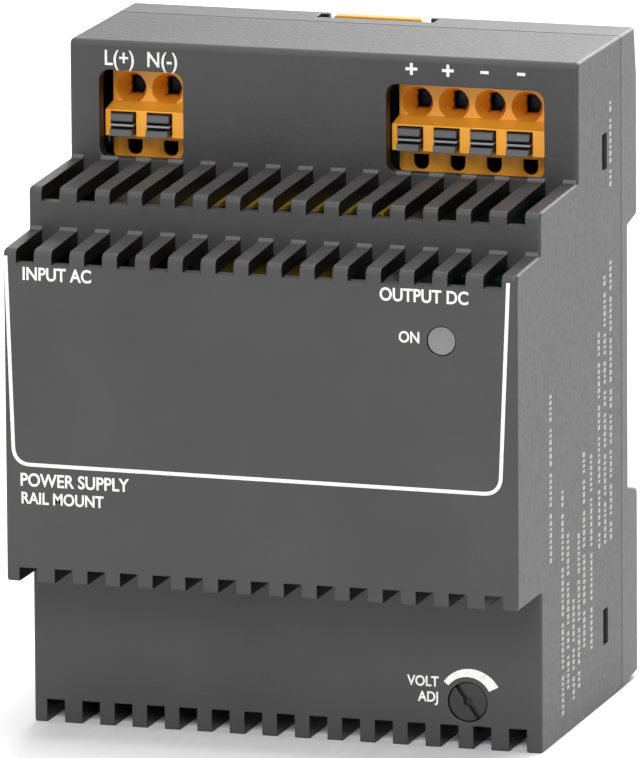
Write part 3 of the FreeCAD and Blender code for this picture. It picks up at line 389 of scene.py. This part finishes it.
def moulded(name, colour, rough, grain, relief, wear_and_highlight, width, tone, tint=None):
    """Moulded plastic: eroded grain, cloudy tone, soft edges that are lighter by wear and by a
    painted highlight.

    The colour is multiplied by the output of the tint group, when there is one: painted shade, and
    on the buttons a painted highlight as well.
    """
    material, tree, shader = new_material(name)
    texture = add_node(tree, "ShaderNodeGroup", node_tree=MOULD_GRAIN)
    texture.inputs["Grain"].default_value = grain
    edges = add_node(tree, "ShaderNodeGroup", node_tree=EDGE_WEAR_AND_HIGHLIGHT)
    edges.inputs["Width"].default_value = width
    edges.inputs["Amount"].default_value = wear_and_highlight
    base = mix_colour(tree, texture.outputs["Tone"], scaled(colour, 1 - tone),
                      scaled(colour, 1 + tone))
    # edges 1.9 times lighter: wear and a painted highlight
    worn_and_lit = mix_colour(tree, edges.outputs["Mask"], base, scaled(colour, 1.9))
    if tint:
        amount = add_node(tree, "ShaderNodeGroup", node_tree=tint)
        tinted = add_node(tree, "ShaderNodeVectorMath", operation="SCALE")
        tree.links.new(worn_and_lit, tinted.inputs[0])
        tree.links.new(amount.outputs["Tint"], tinted.inputs["Scale"])
        worn_and_lit = tinted.outputs["Vector"]
    tree.links.new(worn_and_lit, shader.inputs["Base Color"])
    gloss = spread(tree, texture.outputs["Height"], rough - 0.07, rough + 0.07)
    tree.links.new(gloss, shader.inputs["Roughness"])
    normal = bump(tree, texture.outputs["Height"], relief, 0.00004, edges.outputs["Normal"])
    tree.links.new(normal, shader.inputs["Normal"])
    return material


def metal(name, colour, rough, stretch):
    """Metal with fine drawn lines: noise stretched along one axis drives roughness and bump."""
    material, tree, shader = new_material(name)
    mapping = add_node(tree, "ShaderNodeMapping")
    mapping.inputs["Scale"].default_value = stretch
    tree.links.new(object_point(tree), mapping.inputs["Vector"])
    lines = noise(tree, mapping.outputs["Vector"], 300.0, 4.0)
    cloud = noise(tree, object_point(tree), 120.0, 3.0)
    tree.links.new(mix_colour(tree, cloud, scaled(colour, 0.82), scaled(colour, 1.12)),
                   shader.inputs["Base Color"])
    shader.inputs["Metallic"].default_value = 1.0
    tree.links.new(spread(tree, lines, rough - 0.1, rough + 0.12), shader.inputs["Roughness"])
    tree.links.new(bump(tree, lines, 0.25, 0.00003), shader.inputs["Normal"])
    return material


def print_ink(name, colour):
    """Pad-printed ink with slightly uneven cover."""
    material, tree, shader = new_material(name)
    patch = noise(tree, object_point(tree), 1800.0, 3.0)
    cover = remap(tree, patch, 0.35, 0.65)
    tree.links.new(mix_colour(tree, cover, scaled(colour, 0.85), scaled(colour, 1.07)),
                   shader.inputs["Base Color"])
    shader.inputs["Roughness"].default_value = 0.5
    tree.links.new(bump(tree, patch, 0.2, 0.00002), shader.inputs["Normal"])
    return material


def frosted_lens():
    """Frosted clear plastic of the light pipe, slightly grey with a fine surface."""
    material, tree, shader = new_material("frosted_lens")
    cloud = noise(tree, object_point(tree), 500.0, 3.0)
    tree.links.new(mix_colour(tree, cloud, (0.155, 0.155, 0.155, 1), (0.225, 0.225, 0.225, 1)),
                   shader.inputs["Base Color"])
    shader.inputs["Subsurface Weight"].default_value = 0.3
    shader.inputs["Subsurface Radius"].default_value = (0.001, 0.001, 0.001)
    tree.links.new(spread(tree, cloud, 0.28, 0.4), shader.inputs["Roughness"])
    tree.links.new(bump(tree, cloud, 0.15, 0.00003), shader.inputs["Normal"])
    return material


def laminate():
    """Green board laminate: two greens in a fine brick pattern with darker lines between."""
    material, tree, shader = new_material("laminate")
    point = object_point(tree)
    brick = add_node(tree, "ShaderNodeTexBrick")
    mapping = add_node(tree, "ShaderNodeMapping")
    mapping.inputs["Rotation"].default_value = (math.pi / 2, 0, 0)
    tree.links.new(point, mapping.inputs["Vector"])
    tree.links.new(mapping.outputs["Vector"], brick.inputs["Vector"])
    brick.inputs["Scale"].default_value = 160.0
    brick.inputs["Mortar Size"].default_value = 0.06
    brick.inputs["Color1"].default_value = (0.006, 0.038, 0.014, 1)
    brick.inputs["Color2"].default_value = (0.008, 0.050, 0.018, 1)
    brick.inputs["Mortar"].default_value = (0.004, 0.022, 0.008, 1)
    tree.links.new(brick.outputs["Color"], shader.inputs["Base Color"])
    weave = noise(tree, point, 2200.0, 2.0)
    tree.links.new(spread(tree, weave, 0.22, 0.38), shader.inputs["Roughness"])
    tree.links.new(bump(tree, brick.outputs["Fac"], 0.3, 0.00004), shader.inputs["Normal"])
    return material


def wound_tape(name, colour, axis):
    """Tape wound in turns: faint lines across one axis, slightly wrinkled."""
    material, tree, shader = new_material(name)
    point = object_point(tree)
    wave = add_node(tree, "ShaderNodeTexWave", bands_direction=axis)
    tree.links.new(point, wave.inputs["Vector"])
    wave.inputs["Scale"].default_value = 90.0
    wave.inputs["Distortion"].default_value = 1.5
    wrinkle = noise(tree, point, 400.0, 4.0)
    turns = math_node(tree, "MULTIPLY", wave.outputs["Fac"], 0.5)
    height = math_node(tree, "ADD", turns, wrinkle)
    tree.links.new(mix_colour(tree, wrinkle, scaled(colour, 0.75), scaled(colour, 1.15)),
                   shader.inputs["Base Color"])
    tree.links.new(spread(tree, wrinkle, 0.25, 0.45), shader.inputs["Roughness"])
    tree.links.new(bump(tree, height, 0.4, 0.0001), shader.inputs["Normal"])
    return material


def clear_glass():
    """Thin glass of the fuse, with faint draw lines."""
    material, tree, shader = new_material("clear_glass")
    lines = noise(tree, object_point(tree), 800.0, 2.0)
    shader.inputs["Base Color"].default_value = (0.92, 0.96, 0.95, 1)
    shader.inputs["Transmission Weight"].default_value = 1.0
    tree.links.new(spread(tree, lines, 0.02, 0.08), shader.inputs["Roughness"])
    tree.links.new(bump(tree, lines, 0.1, 0.00002), shader.inputs["Normal"])
    return material


def sleeved_can():
    """Capacitor can: dark shrink sleeve, bare aluminium at the end that faces the front."""
    material, tree, shader = new_material("sleeved_can")
    point = object_point(tree)
    split = add_node(tree, "ShaderNodeSeparateXYZ")
    geometry = add_node(tree, "ShaderNodeNewGeometry")
    tree.links.new(geometry.outputs["Normal"], split.inputs[0])
    bare = remap(tree, split.outputs["Y"], -0.75, -0.9)
    cloud = noise(tree, point, 300.0, 3.0)
    sleeve = mix_colour(tree, cloud, (0.012, 0.012, 0.018, 1), (0.028, 0.028, 0.04, 1))
    tree.links.new(mix_colour(tree, bare, sleeve, (0.62, 0.62, 0.63, 1)),
                   shader.inputs["Base Color"])
    tree.links.new(bare, shader.inputs["Metallic"])
    tree.links.new(spread(tree, cloud, 0.25, 0.4), shader.inputs["Roughness"])
    tree.links.new(bump(tree, cloud, 0.2, 0.00005), shader.inputs["Normal"])
    return material


# ---- materials by finish ----
COVER_GREY = (0.041, 0.0395, 0.041)
BUTTON_GREY = (0.085, 0.083, 0.090)
ORANGE = (0.92, 0.38, 0.03)

# finish: material name, colour, roughness, grain scale, relief, edge wear and painted highlight,
# edge width, tone, tint of painted shade and highlight
MOULDED_FINISHES = {
    # cover: the last column paints shade on the side walls of the slots and windows
    "cover": ("cover_plastic", COVER_GREY, 0.46, 1900.0, 1.0, 0.35, 0.00028, 0.14, RECESS_PAINTED_SHADE),
    # fillet: the cover grey made 2.6 times lighter, a painted highlight on the rib roots
    "fillet": ("fillet_plastic", scaled(COVER_GREY, 2.6), 0.3, 2400.0, 0.2, 0.2, 0.0001, 0.10),
    # base: the last column paints shade in the latch pocket
    "base": ("base_plastic", scaled(COVER_GREY, 1.7), 0.46, 2400.0, 0.3, 0.35, 0.00028, 0.08,
             POCKET_PAINTED_SHADE),
    "latch": ("latch_plastic", (0.76, 0.33, 0.04), 0.40, 3000.0, 0.2, 0.3, 0.0002, 0.08),
    # terminal: the last column paints shade deep in the funnels and test holes
    "terminal": ("terminal_plastic", ORANGE, 0.36, 3200.0, 0.2, 0.35, 0.00018, 0.10, DEPTH_PAINTED_SHADE),
    # button: the last column paints shade in the grooves and a highlight on the ridge
    "button": ("button_plastic", BUTTON_GREY, 0.38, 3200.0, 0.25, 0.5, 0.00012, 0.10, GRIP_PAINTED_LIGHT),
    "adjuster": ("adjuster_plastic", scaled(COVER_GREY, 0.45), 0.4, 3000.0, 0.2, 0.6, 0.0002, 0.2),
    "black": ("black_moulding", (0.02, 0.02, 0.02), 0.42, 2400.0, 0.3, 0.4, 0.0002, 0.2),
    "trimmer": ("trimmer_moulding", (0.03, 0.10, 0.35), 0.35, 2800.0, 0.2, 0.3, 0.0002, 0.1),
    "ferrite": ("ferrite", (0.035, 0.035, 0.038), 0.55, 1500.0, 0.9, 0.8, 0.0003, 0.3),
    "film_case": ("film_capacitor_case", (0.10, 0.09, 0.06), 0.4, 2200.0, 0.3, 0.2, 0.0004, 0.1),
    "disc": ("dipped_coating", (0.03, 0.12, 0.36), 0.3, 900.0, 0.6, 0.1, 0.0004, 0.15),
    "dark_disc": ("thermistor_coating", (0.025, 0.03, 0.02), 0.4, 900.0, 0.6, 0.1, 0.0004, 0.15),
    "epoxy": ("epoxy_package", (0.018, 0.018, 0.018), 0.5, 2600.0, 0.5, 0.4, 0.0002, 0.2),
    "sheet": ("insulation_film", (0.66, 0.62, 0.48), 0.45, 1200.0, 0.3, 0.1, 0.0002, 0.08),
    "lamp": ("lamp_resin", (0.10, 0.42, 0.10), 0.2, 1500.0, 0.1, 0.1, 0.0003, 0.1),
}
# finish: material name, colour, roughness, stretch of the drawn lines along X, Y and Z
METAL_FINISHES = {
    "spring": ("spring_steel", (0.62, 0.62, 0.62), 0.25, (1.0, 1.0, 12.0)),
    # clamp_spring: near-black, painted shade on the springs deep in the terminal funnels
    "clamp_spring": ("clamp_steel_painted_shade", (0.022, 0.020, 0.024), 0.35, (1.0, 1.0, 12.0)),
    "screw": ("screw_steel", (0.58, 0.57, 0.53), 0.3, (6.0, 1.0, 6.0)),
    "tinned": ("tinned_copper", (0.70, 0.58, 0.46), 0.3, (12.0, 1.0, 1.0)),
    "copper": ("copper_wire", (0.72, 0.30, 0.13), 0.28, (1.0, 18.0, 1.0)),
    "nickel": ("nickel_plate", (0.66, 0.64, 0.58), 0.2, (10.0, 1.0, 1.0)),
    "aluminium": ("rolled_aluminium", (0.72, 0.73, 0.74), 0.35, (1.0, 20.0, 1.0)),
}


def make_materials():
    """Every finish by name."""
    finishes = {finish: moulded(*values) for finish, values in MOULDED_FINISHES.items()}
    finishes |= {finish: metal(*values) for finish, values in METAL_FINISHES.items()}
    finishes |= {
        "lens": frosted_lens(),
        "ink": print_ink("print_ink", (0.82, 0.82, 0.80)),
        "side_ink": print_ink("side_ink", (0.42, 0.42, 0.41)),
        "laminate": laminate(),
        "coil_tape": wound_tape("coil_tape", (0.30, 0.19, 0.015), "Z"),
        "core_tape": wound_tape("core_tape", (0.36, 0.24, 0.02), "Y"),
        "glass": clear_glass(),
        "can": sleeved_can(),
    }
    return finishes


FINISH_OF_NODE = {
    "front_cover": "cover", "rear_base": "base", "rail_latch": "latch", "latch_spring": "spring",
    "light_pipe": "lens", "status_led": "lamp", "led_holder": "black", "trimmer_body": "trimmer",
    "voltage_adjuster": "adjuster", "main_board": "laminate", "control_board": "laminate",
    "controller_chip": "epoxy", "board_screws": "screw", "heat_sink_screws": "screw",
    "insulation_sheet": "sheet", "transformer_core": "ferrite", "transformer_bobbin": "black",
    "transformer_winding": "coil_tape", "transformer_tape": "core_tape", "bulk_capacitor": "can",
    "output_capacitors": "can", "x_capacitor": "film_case", "choke_core": "ferrite",
    "choke_windings": "copper", "choke_base": "black", "y_capacitors": "disc", "varistor": "disc",
    "inrush_thermistor": "dark_disc", "fuse_tube": "glass", "fuse_caps": "nickel",
    "fuse_clips": "nickel", "bridge_rectifier": "epoxy", "primary_heat_sink": "aluminium",
    "secondary_heat_sink": "aluminium", "switching_transistor": "epoxy", "output_diode": "epoxy",
    "output_inductor_core": "ferrite", "output_inductor_winding": "copper", "optocouplers": "epoxy",
}
FINISH_OF_KIND = {
    "terminal_housing": "terminal", "release_button": "button", "clamp_spring": "clamp_spring",
    "current_bars": "tinned",
}


def finish_of(node):
    """Name of the finish of a CAD node."""
    if node in FINISH_OF_NODE:
        return FINISH_OF_NODE[node]
    for kind, finish in FINISH_OF_KIND.items():
        if kind in node:
            return finish
    raise KeyError(node)


def dress_frame(materials):
    """Give every CAD node its finish."""
    for node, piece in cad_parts.items():
        piece.data.materials.clear()
        piece.data.materials.append(materials[finish_of(node)])


# ---- printed marks ----
def piece_from_mesh(name, mesh, material, body):
    """Object for a finished mesh, riding on a body; print has no slot of the record."""
    piece = bpy.data.objects.new(name, mesh)
    bpy.context.scene.collection.objects.link(piece)
    mesh.materials.append(material)
    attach(piece, body)
    return piece


def ribbon_faces(count):
    """Faces of a closed strip solid.

    Each ring of four points is left front, right front, right back, left back.
    """
    faces = []
    for k in range(count - 1):
        a = 4 * k
        b = a + 4
        for corner in range(4):
            nxt = (corner + 1) % 4
            faces.append((a + corner, a + nxt, b + nxt, b + corner))
    last = 4 * (count - 1)
    faces.append((3, 2, 1, 0))
    faces.append((last, last + 1, last + 2, last + 3))
    return faces


def ribbon(left, right):
    """Film between two rails of (u, w) points: its back at 0 and its front at FILM in depth."""
    rings = np.empty((len(left), 4, 3))
    rings[:, 0, :2] = left
    rings[:, 1, :2] = right
    rings[:, 2, :2] = right
    rings[:, 3, :2] = left
    rings[:, :2, 2] = FILM
    rings[:, 2:, 2] = 0.0
    return rings.reshape(-1, 3), ribbon_faces(len(left))


def stroke(path, width):
    """Ribbon along a path: each point is moved along the path's normal by half the width."""
    path = np.asarray(path, float)
    along = np.gradient(path, axis=0)
    along /= np.linalg.norm(along, axis=1)[:, None]
    normal = np.column_stack([-along[:, 1], along[:, 0]])
    return ribbon(path - normal * width / 2, path + normal * width / 2)


def crescent(centre, inner, widths, start, end, count=40):
    """Arc that widens along its turn: outer radius is the inner one plus an even growth."""
    angle = np.radians(np.linspace(start, end, count))
    outer = inner + np.linspace(widths[0], widths[1], count)
    direction = np.column_stack([np.cos(angle), np.sin(angle)])
    return ribbon(centre + direction * inner, centre + direction * outer[:, None])


def bar(u, w, length, height):
    """Small rectangle with its lower left corner at (u, w)."""
    left = np.array([[u, w], [u + length, w]])
    return ribbon(left, left + [0, height])


def joined(shapes):
    """Points and faces of several shapes as one."""
    points = []
    faces = []
    offset = 0
    for shape_points, shape_faces in shapes:
        points.append(shape_points)
        faces += [tuple(i + offset for i in face) for face in shape_faces]
        offset += len(shape_points)
    return np.vstack(points), faces


def front_matrix(plane):
    """Marks drawn in (u, w, depth) go to (x, z) on a front face, depth towards the viewer."""
    return Matrix(((1, 0, 0, 0), (0, 0, -1, plane), (0, 1, 0, 0), (0, 0, 0, 1)))


def side_matrix(plane):
    """Marks go to the right side: u runs up along +Z, w runs to the front along -Y."""
    return Matrix(((0, 0, 1, plane), (0, -1, 0, 0), (1, 0, 0, 0), (0, 0, 0, 1)))


def outward(mesh):
    """Recalculate the normals of a closed mesh so that they point out."""
    work = bmesh.new()
    work.from_mesh(mesh)
    bmesh.ops.recalc_face_normals(work, faces=work.faces)
    work.to_mesh(mesh)
    work.free()


def film_mark(name, shapes, matrix, material):
    """Printed film from ribbons, placed on a face of the cover."""
    points, faces = joined(shapes)
    mesh = bpy.data.meshes.new(name)
    mesh.from_pydata(points.tolist(), [], faces)
    mesh.transform(Matrix.Scale(MM, 4) @ matrix)
    outward(mesh)
    return piece_from_mesh(name, mesh, material, "housing")


def word_mark(name, text, size, place, matrix, material, bold, align="LEFT"):
    """Printed word: a text made into a mesh, with its baseline's start or end at (u, w).

    It is drawn narrower than the font by the word narrowing.
    """
    curve = bpy.data.curves.new(name + "_text", "FONT")
    curve.body = text
    curve.size = size
    curve.align_x = align
    curve.extrude = FILM / 2
    curve.offset = bold
    holder = bpy.data.objects.new(name + "_text", curve)
    bpy.context.scene.collection.objects.link(holder)
    bpy.context.view_layer.update()
    shaped = holder.evaluated_get(bpy.context.evaluated_depsgraph_get())
    mesh = bpy.data.meshes.new_from_object(shaped)
    bpy.data.objects.remove(holder)
    mesh.name = name
    mesh.materials.clear()
    narrow = Matrix.Diagonal((WORD_NARROWING, 1.0, 1.0, 1.0))
    put = Matrix.Translation((place[0], place[1], FILM / 2))
    mesh.transform(Matrix.Scale(MM, 4) @ matrix @ put @ narrow)
    return piece_from_mesh(name, mesh, material, "housing")


def nose_line(material):
    """Thin white line down the left edge, along the bottom and up the right edge of the nose."""
    top_left = np.array([-35.15, NOSE_TOP])
    bottom_left = np.array([-34.3, 37.8])
    bottom_right = np.array([33.1, 37.5])
    top_right = np.array([34.3, NOSE_TOP])

    def unit(vector):
        """Vector of length one."""
        return vector / np.linalg.norm(vector)

    def corner(point, before, after):
        """Rounded corner: a quadratic curve that starts and ends one radius from the point.

        The point itself is the curve's middle control point.
        """
        start = point + before * NOSE_LINE_RADIUS
        end = point + after * NOSE_LINE_RADIUS
        t = np.linspace(0, 1, 12)[:, None]
        return (1 - t) ** 2 * start + 2 * t * (1 - t) * point + t ** 2 * end

    path = np.vstack([
        top_left,
        corner(bottom_left, unit(top_left - bottom_left), unit(bottom_right - bottom_left)),
        corner(bottom_right, unit(bottom_left - bottom_right), unit(top_right - bottom_right)),
        top_right])
    film_mark("nose_line", [stroke(path, NOSE_LINE_WIDTH)], front_matrix(NOSE_FACE), material)


def dash_row(start, end, w, height, dice):
    """Row of plain blocks that stands for a line of print.

    The lengths and the number of blocks in a word are random, with a wider gap after a word.
    """
    shapes = []
    u = start
    left_in_word = dice.integers(WORD_FEWEST, WORD_LIMIT)
    while u < end:
        length = dice.uniform(BLOCK_SHORTEST, BLOCK_LONGEST)
        shapes.append(bar(u, w - height / 2, length, height))
        u += length + BLOCK_GAP
        left_in_word -= 1
        if left_in_word == 0:
            u += WORD_GAP
            left_in_word = dice.integers(WORD_FEWEST, WORD_LIMIT)
    return shapes


def side_print(material):
    """Lines of plain blocks up the right side, each from its lower end to its upper one."""
    dice = np.random.default_rng(7)
    shapes = []
    for y, low, high in SIDE_LINES:
        shapes += dash_row(low, high, -y, SIDE_LETTER, dice)
    film_mark("side_print", shapes, side_matrix(SIDE_FACE), material)


def pole_sign(u, is_plus):
    """Bars of a plus or minus sign about (u, sign height); a plus has two upright arms more."""
    length = PLUS_LENGTH if is_plus else MINUS_LENGTH
    thick = 2 * SIGN_HALF_WIDTH
    bars = [bar(u - length / 2, SIGN_HEIGHT - SIGN_HALF_WIDTH, length, thick)]
    if is_plus:
        arm = PLUS_LENGTH / 2 - SIGN_HALF_WIDTH
        bars.append(bar(u - SIGN_HALF_WIDTH, SIGN_HEIGHT - PLUS_LENGTH / 2, thick, arm))
        bars.append(bar(u - SIGN_HALF_WIDTH, SIGN_HEIGHT + SIGN_HALF_WIDTH, thick, arm))
    return bars


def printed_marks(material):
    """All the print on the cover."""
    nose_line(material)
    nose = front_matrix(NOSE_FACE)
    lower = front_matrix(LOWER_FACE)
    terminal = front_matrix(TERMINAL_FACE)
    word_mark("input_word", "INPUT AC", LARGE_LETTER, (-32.9, 62.9), nose, material, HEAVY)
    word_mark("output_word", "OUTPUT DC", LARGE_LETTER, (28.9, 62.8), nose, material, HEAVY,
              "RIGHT")
    word_mark("lamp_word", "ON", LAMP_LETTER, (22.2, 57.3), nose, material, LIGHT, "RIGHT")
    word_mark("type_word_1", "POWER SUPPLY", LARGE_LETTER, (-33.5, 34.9), nose, material, HEAVY)
    word_mark("type_word_2", "RAIL MOUNT", MIDDLE_LETTER, (-33.4, 32.5), nose, material, HEAVY)
    for number, is_plus in enumerate((True, True, False, False), 1):
        u = OUTPUT_LOW.x + POLE_PITCH * (number - 0.5) + SIGN_SHIFT
        film_mark(f"output_sign_{number}", pole_sign(u, is_plus), terminal, material)
    for number, (word, u) in enumerate((("L(+)", -30.7), ("N(-)", -24.7)), 1):
        word_mark(f"input_sign_{number}", word, POLE_LETTER, (u, 86.7), terminal, material, LIGHT)
    middle = (ADJUSTER_LOW + ADJUSTER_HIGH) / 2
    centre = np.array([middle.x, middle.z + SCALE_LIFT])
    scale = crescent(centre, SCALE_RADIUS, SCALE_WIDTHS, SCALE_START, SCALE_END)
    film_mark("adjuster_scale", [scale], lower, material)
    for number, (word, w) in enumerate((("VOLT", 8.3), ("ADJ", 6.2)), 1):
        word_mark(f"adjuster_word_{number}", word, ADJUSTER_LETTER, (21.2, w), lower, material,
                  LIGHT, "RIGHT")


def slot_places():
    """X of the middle of each vent slot: an even run with a wider step at both ends."""
    half_run = SLOT_PITCH * (SLOT_INNER_COUNT - 1) / 2
    inner = SLOT_MIDDLE_X - half_run + SLOT_PITCH * np.arange(SLOT_INNER_COUNT)
    return np.concatenate([[inner[0] - SLOT_END_PITCH], inner, [inner[-1] + SLOT_END_PITCH]])


def rib_fillet(x0, x1, wall_y, roof_z, radius):
    """Concave fillet between a rib's roof and the wall behind: a hollow quarter circle.

    The circle's centre is one radius in front of the wall and one above the roof. The last
    points of the section lie just behind the wall and below the roof, inside the plastic.
    """
    angle = np.radians(np.linspace(0, -90, 7))
    y = wall_y - radius + radius * np.cos(angle)
    z = roof_z + radius + radius * np.sin(angle)
    behind, below = wall_y + FILLET_BEHIND_WALL, roof_z - FILLET_BELOW_ROOF
    y = np.concatenate([y, [wall_y - radius, behind, behind]])
    z = np.concatenate([z, [below, below, roof_z + radius]])
    count = len(y)
    points = np.vstack([np.column_stack([np.full(count, x), y, z]) for x in (x0, x1)])
    faces = [(k, (k + 1) % count, (k + 1) % count + count, k + count) for k in range(count)]
    faces += [tuple(reversed(range(count))), tuple(range(count, 2 * count))]
    return points, faces


def rib_fillets(material):
    """A fillet at the root of every rib, on both tiers."""
    slots = slot_places()
    end = SIDE_FACE - FILLET_END_INSET
    lefts = np.concatenate([[-end], slots + SLOT_WIDTH / 2])
    rights = np.concatenate([slots - SLOT_WIDTH / 2, [end]])
    shapes = []
    for wall_y, roof_z in ((LOWER_FACE, NOSE_ROOF_REAR), (TERMINAL_FACE, MIDDLE_ROOF_REAR)):
        for left, right in zip(lefts, rights):
            shapes.append(rib_fillet(left, right, wall_y, roof_z, FILLET_RADIUS))
    points, faces = joined(shapes)
    mesh = bpy.data.meshes.new("rib_fillets")
    mesh.from_pydata((points * MM).tolist(), [], faces)
    outward(mesh)
    piece_from_mesh("rib_fillets", mesh, material, "housing")


# ---- latch spring ----
def coil_spring(low, high, wire, turns):
    """Points and faces of a compression spring with closed ends between two corners of its box.

    The wire's middle turns about the box's vertical middle line. Its height rises by one wire
    thickness over the first and the last turn, and evenly between them. The section is a circle
    in the plane of the line and the wire's middle.
    """
    steps, sides = 24, 10
    turn = np.linspace(0, turns, turns * steps + 1)
    first, last = low.z + wire, high.z - wire
    height = np.interp(turn, [0, 1, turns - 1, turns],
                       [first, first + 2 * wire, last - 2 * wire, last])
    around = 2 * math.pi * turn[:, None]
    section = np.linspace(0, 2 * math.pi, sides, endpoint=False)[None, :]
    radius = (high.x - low.x) / 2 - wire + wire * np.cos(section)
    middle = (low + high) / 2
    grid = np.stack([middle.x + radius * np.cos(around), middle.y + radius * np.sin(around),
                     height[:, None] + wire * np.sin(section)], axis=2)
    ring = np.arange(len(turn) - 1)[:, None] * sides
    side = np.arange(sides)[None, :]
    after = (side + 1) % sides
    quads = np.stack([ring + side, ring + after, ring + sides + after, ring + sides + side], axis=2)
    faces = quads.reshape(-1, 4).tolist()
    end = (len(turn) - 1) * sides
    faces += [list(range(sides)), list(range(end, end + sides))]
    return grid.reshape(-1, 3), faces


def latch_coil(material):
    """Coil in the latch spring's box, shown in place of the latch spring node."""
    low, high = box_mm("latch_spring")
    points, faces = coil_spring(low, high, SPRING_WIRE, SPRING_TURNS)
    mesh = bpy.data.meshes.new("latch_coil")
    mesh.from_pydata((points * MM).tolist(), [], faces)
    outward(mesh)
    mesh.shade_smooth()
    coil = piece_from_mesh("latch_coil", mesh, material, "housing")
    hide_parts("latch_spring")
    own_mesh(coil)


# ---- stage ----
def backdrop():
    """Pale floor that curves up into a wall: a straight floor, a quarter circle, a wall."""
    near, far, radius, height, half_width = -6.0, 4.5, 1.5, 5.0, 6.0
    angle = np.linspace(0, math.pi / 2, 24)
    bend_y = far + radius * np.sin(angle)
    bend_z = radius * (1 - np.cos(angle))
    y = np.concatenate([[near], bend_y, [far + radius]])
    z = np.concatenate([[0.0], bend_z, [height]])
    points = [(side * half_width, a, b) for a, b in zip(y, z) for side in (-1, 1)]
    faces = [(2 * k, 2 * k + 1, 2 * k + 3, 2 * k + 2) for k in range(len(y) - 1)]
    mesh = bpy.data.meshes.new("studio_floor")
    mesh.from_pydata(points, [], faces)
    mesh.shade_smooth()
    floor = bpy.data.objects.new("studio_floor", mesh)
    bpy.context.scene.collection.objects.link(floor)
    material, _, shader = new_material("studio_floor")
    shader.inputs["Base Color"].default_value = (0.86, 0.86, 0.86, 1)
    shader.inputs["Roughness"].default_value = 0.9
    mesh.materials.append(material)


def soft_light(name, place, target, size, power):
    """Square area light that faces a point."""
    data = bpy.data.lights.new(name, "AREA")
    data.size = size
    data.energy = power
    light = bpy.data.objects.new(name, data)
    bpy.context.scene.collection.objects.link(light)
    light.location = place
    light.rotation_mode = "QUATERNION"
    light.rotation_quaternion = (Vector(target) - Vector(place)).to_track_quat("-Z", "Y")


def studio():
    """Dim even surroundings, soft lights from the front, a broad one behind and one above."""
    world = bpy.data.worlds.new("studio")
    bpy.context.scene.world = world
    world.use_nodes = True
    background = world.node_tree.nodes["Background"]
    background.inputs["Color"].default_value = (1.0, 1.0, 1.0, 1)
    background.inputs["Strength"].default_value = 0.22
    middle = (0, 0, 0.05)
    soft_light("key_light", (0.2, -2.8, 2.2), middle, size=1.4, power=80.0)
    soft_light("fill_light", (0.4, -3.4, 0.4), middle, size=2.4, power=24.0)
    soft_light("back_light", (0.4, 3.0, 1.5), middle, size=2.6, power=128.0)
    soft_light("top_light", (0.2, 0.2, 2.6), middle, size=1.4, power=56.0)
    bpy.context.scene.view_settings.view_transform = "Standard"


def camera():
    """Long lens from the front right and a little above, rolled by a fraction of a degree."""
    azimuth = math.radians(17.13)
    elevation = math.radians(11.98)
    roll = math.radians(-0.39)
    distance = 1.7967
    target = Vector((0.0, 0.001, 0.045))
    level = math.cos(elevation)
    back = Vector((math.sin(azimuth) * level, -math.cos(azimuth) * level, math.sin(elevation)))
    right = Vector((math.cos(azimuth), math.sin(azimuth), 0.0))
    up = back.cross(right)
    rolled_right = right * math.cos(roll) + up * math.sin(roll)
    rolled_up = up * math.cos(roll) - right * math.sin(roll)
    data = bpy.data.cameras.new("camera")
    data.lens = 635.4
    data.shift_x = -0.0082
    data.shift_y = 0.0008
    eye = bpy.data.objects.new("camera", data)
    bpy.context.scene.collection.objects.link(eye)
    turn = Matrix((rolled_right, rolled_up, back)).transposed().to_4x4()
    eye.matrix_world = Matrix.Translation(target + back * distance) @ turn
    bpy.context.scene.camera = eye


def main():
    """Dress the frame, add the fillets, the coil and the print, set the stage."""
    materials = make_materials()
    dress_frame(materials)
    rib_fillets(materials["fillet"])
    latch_coil(materials["spring"])
    printed_marks(materials["ink"])
    side_print(materials["side_ink"])
    backdrop()
    studio()
    camera()


main()
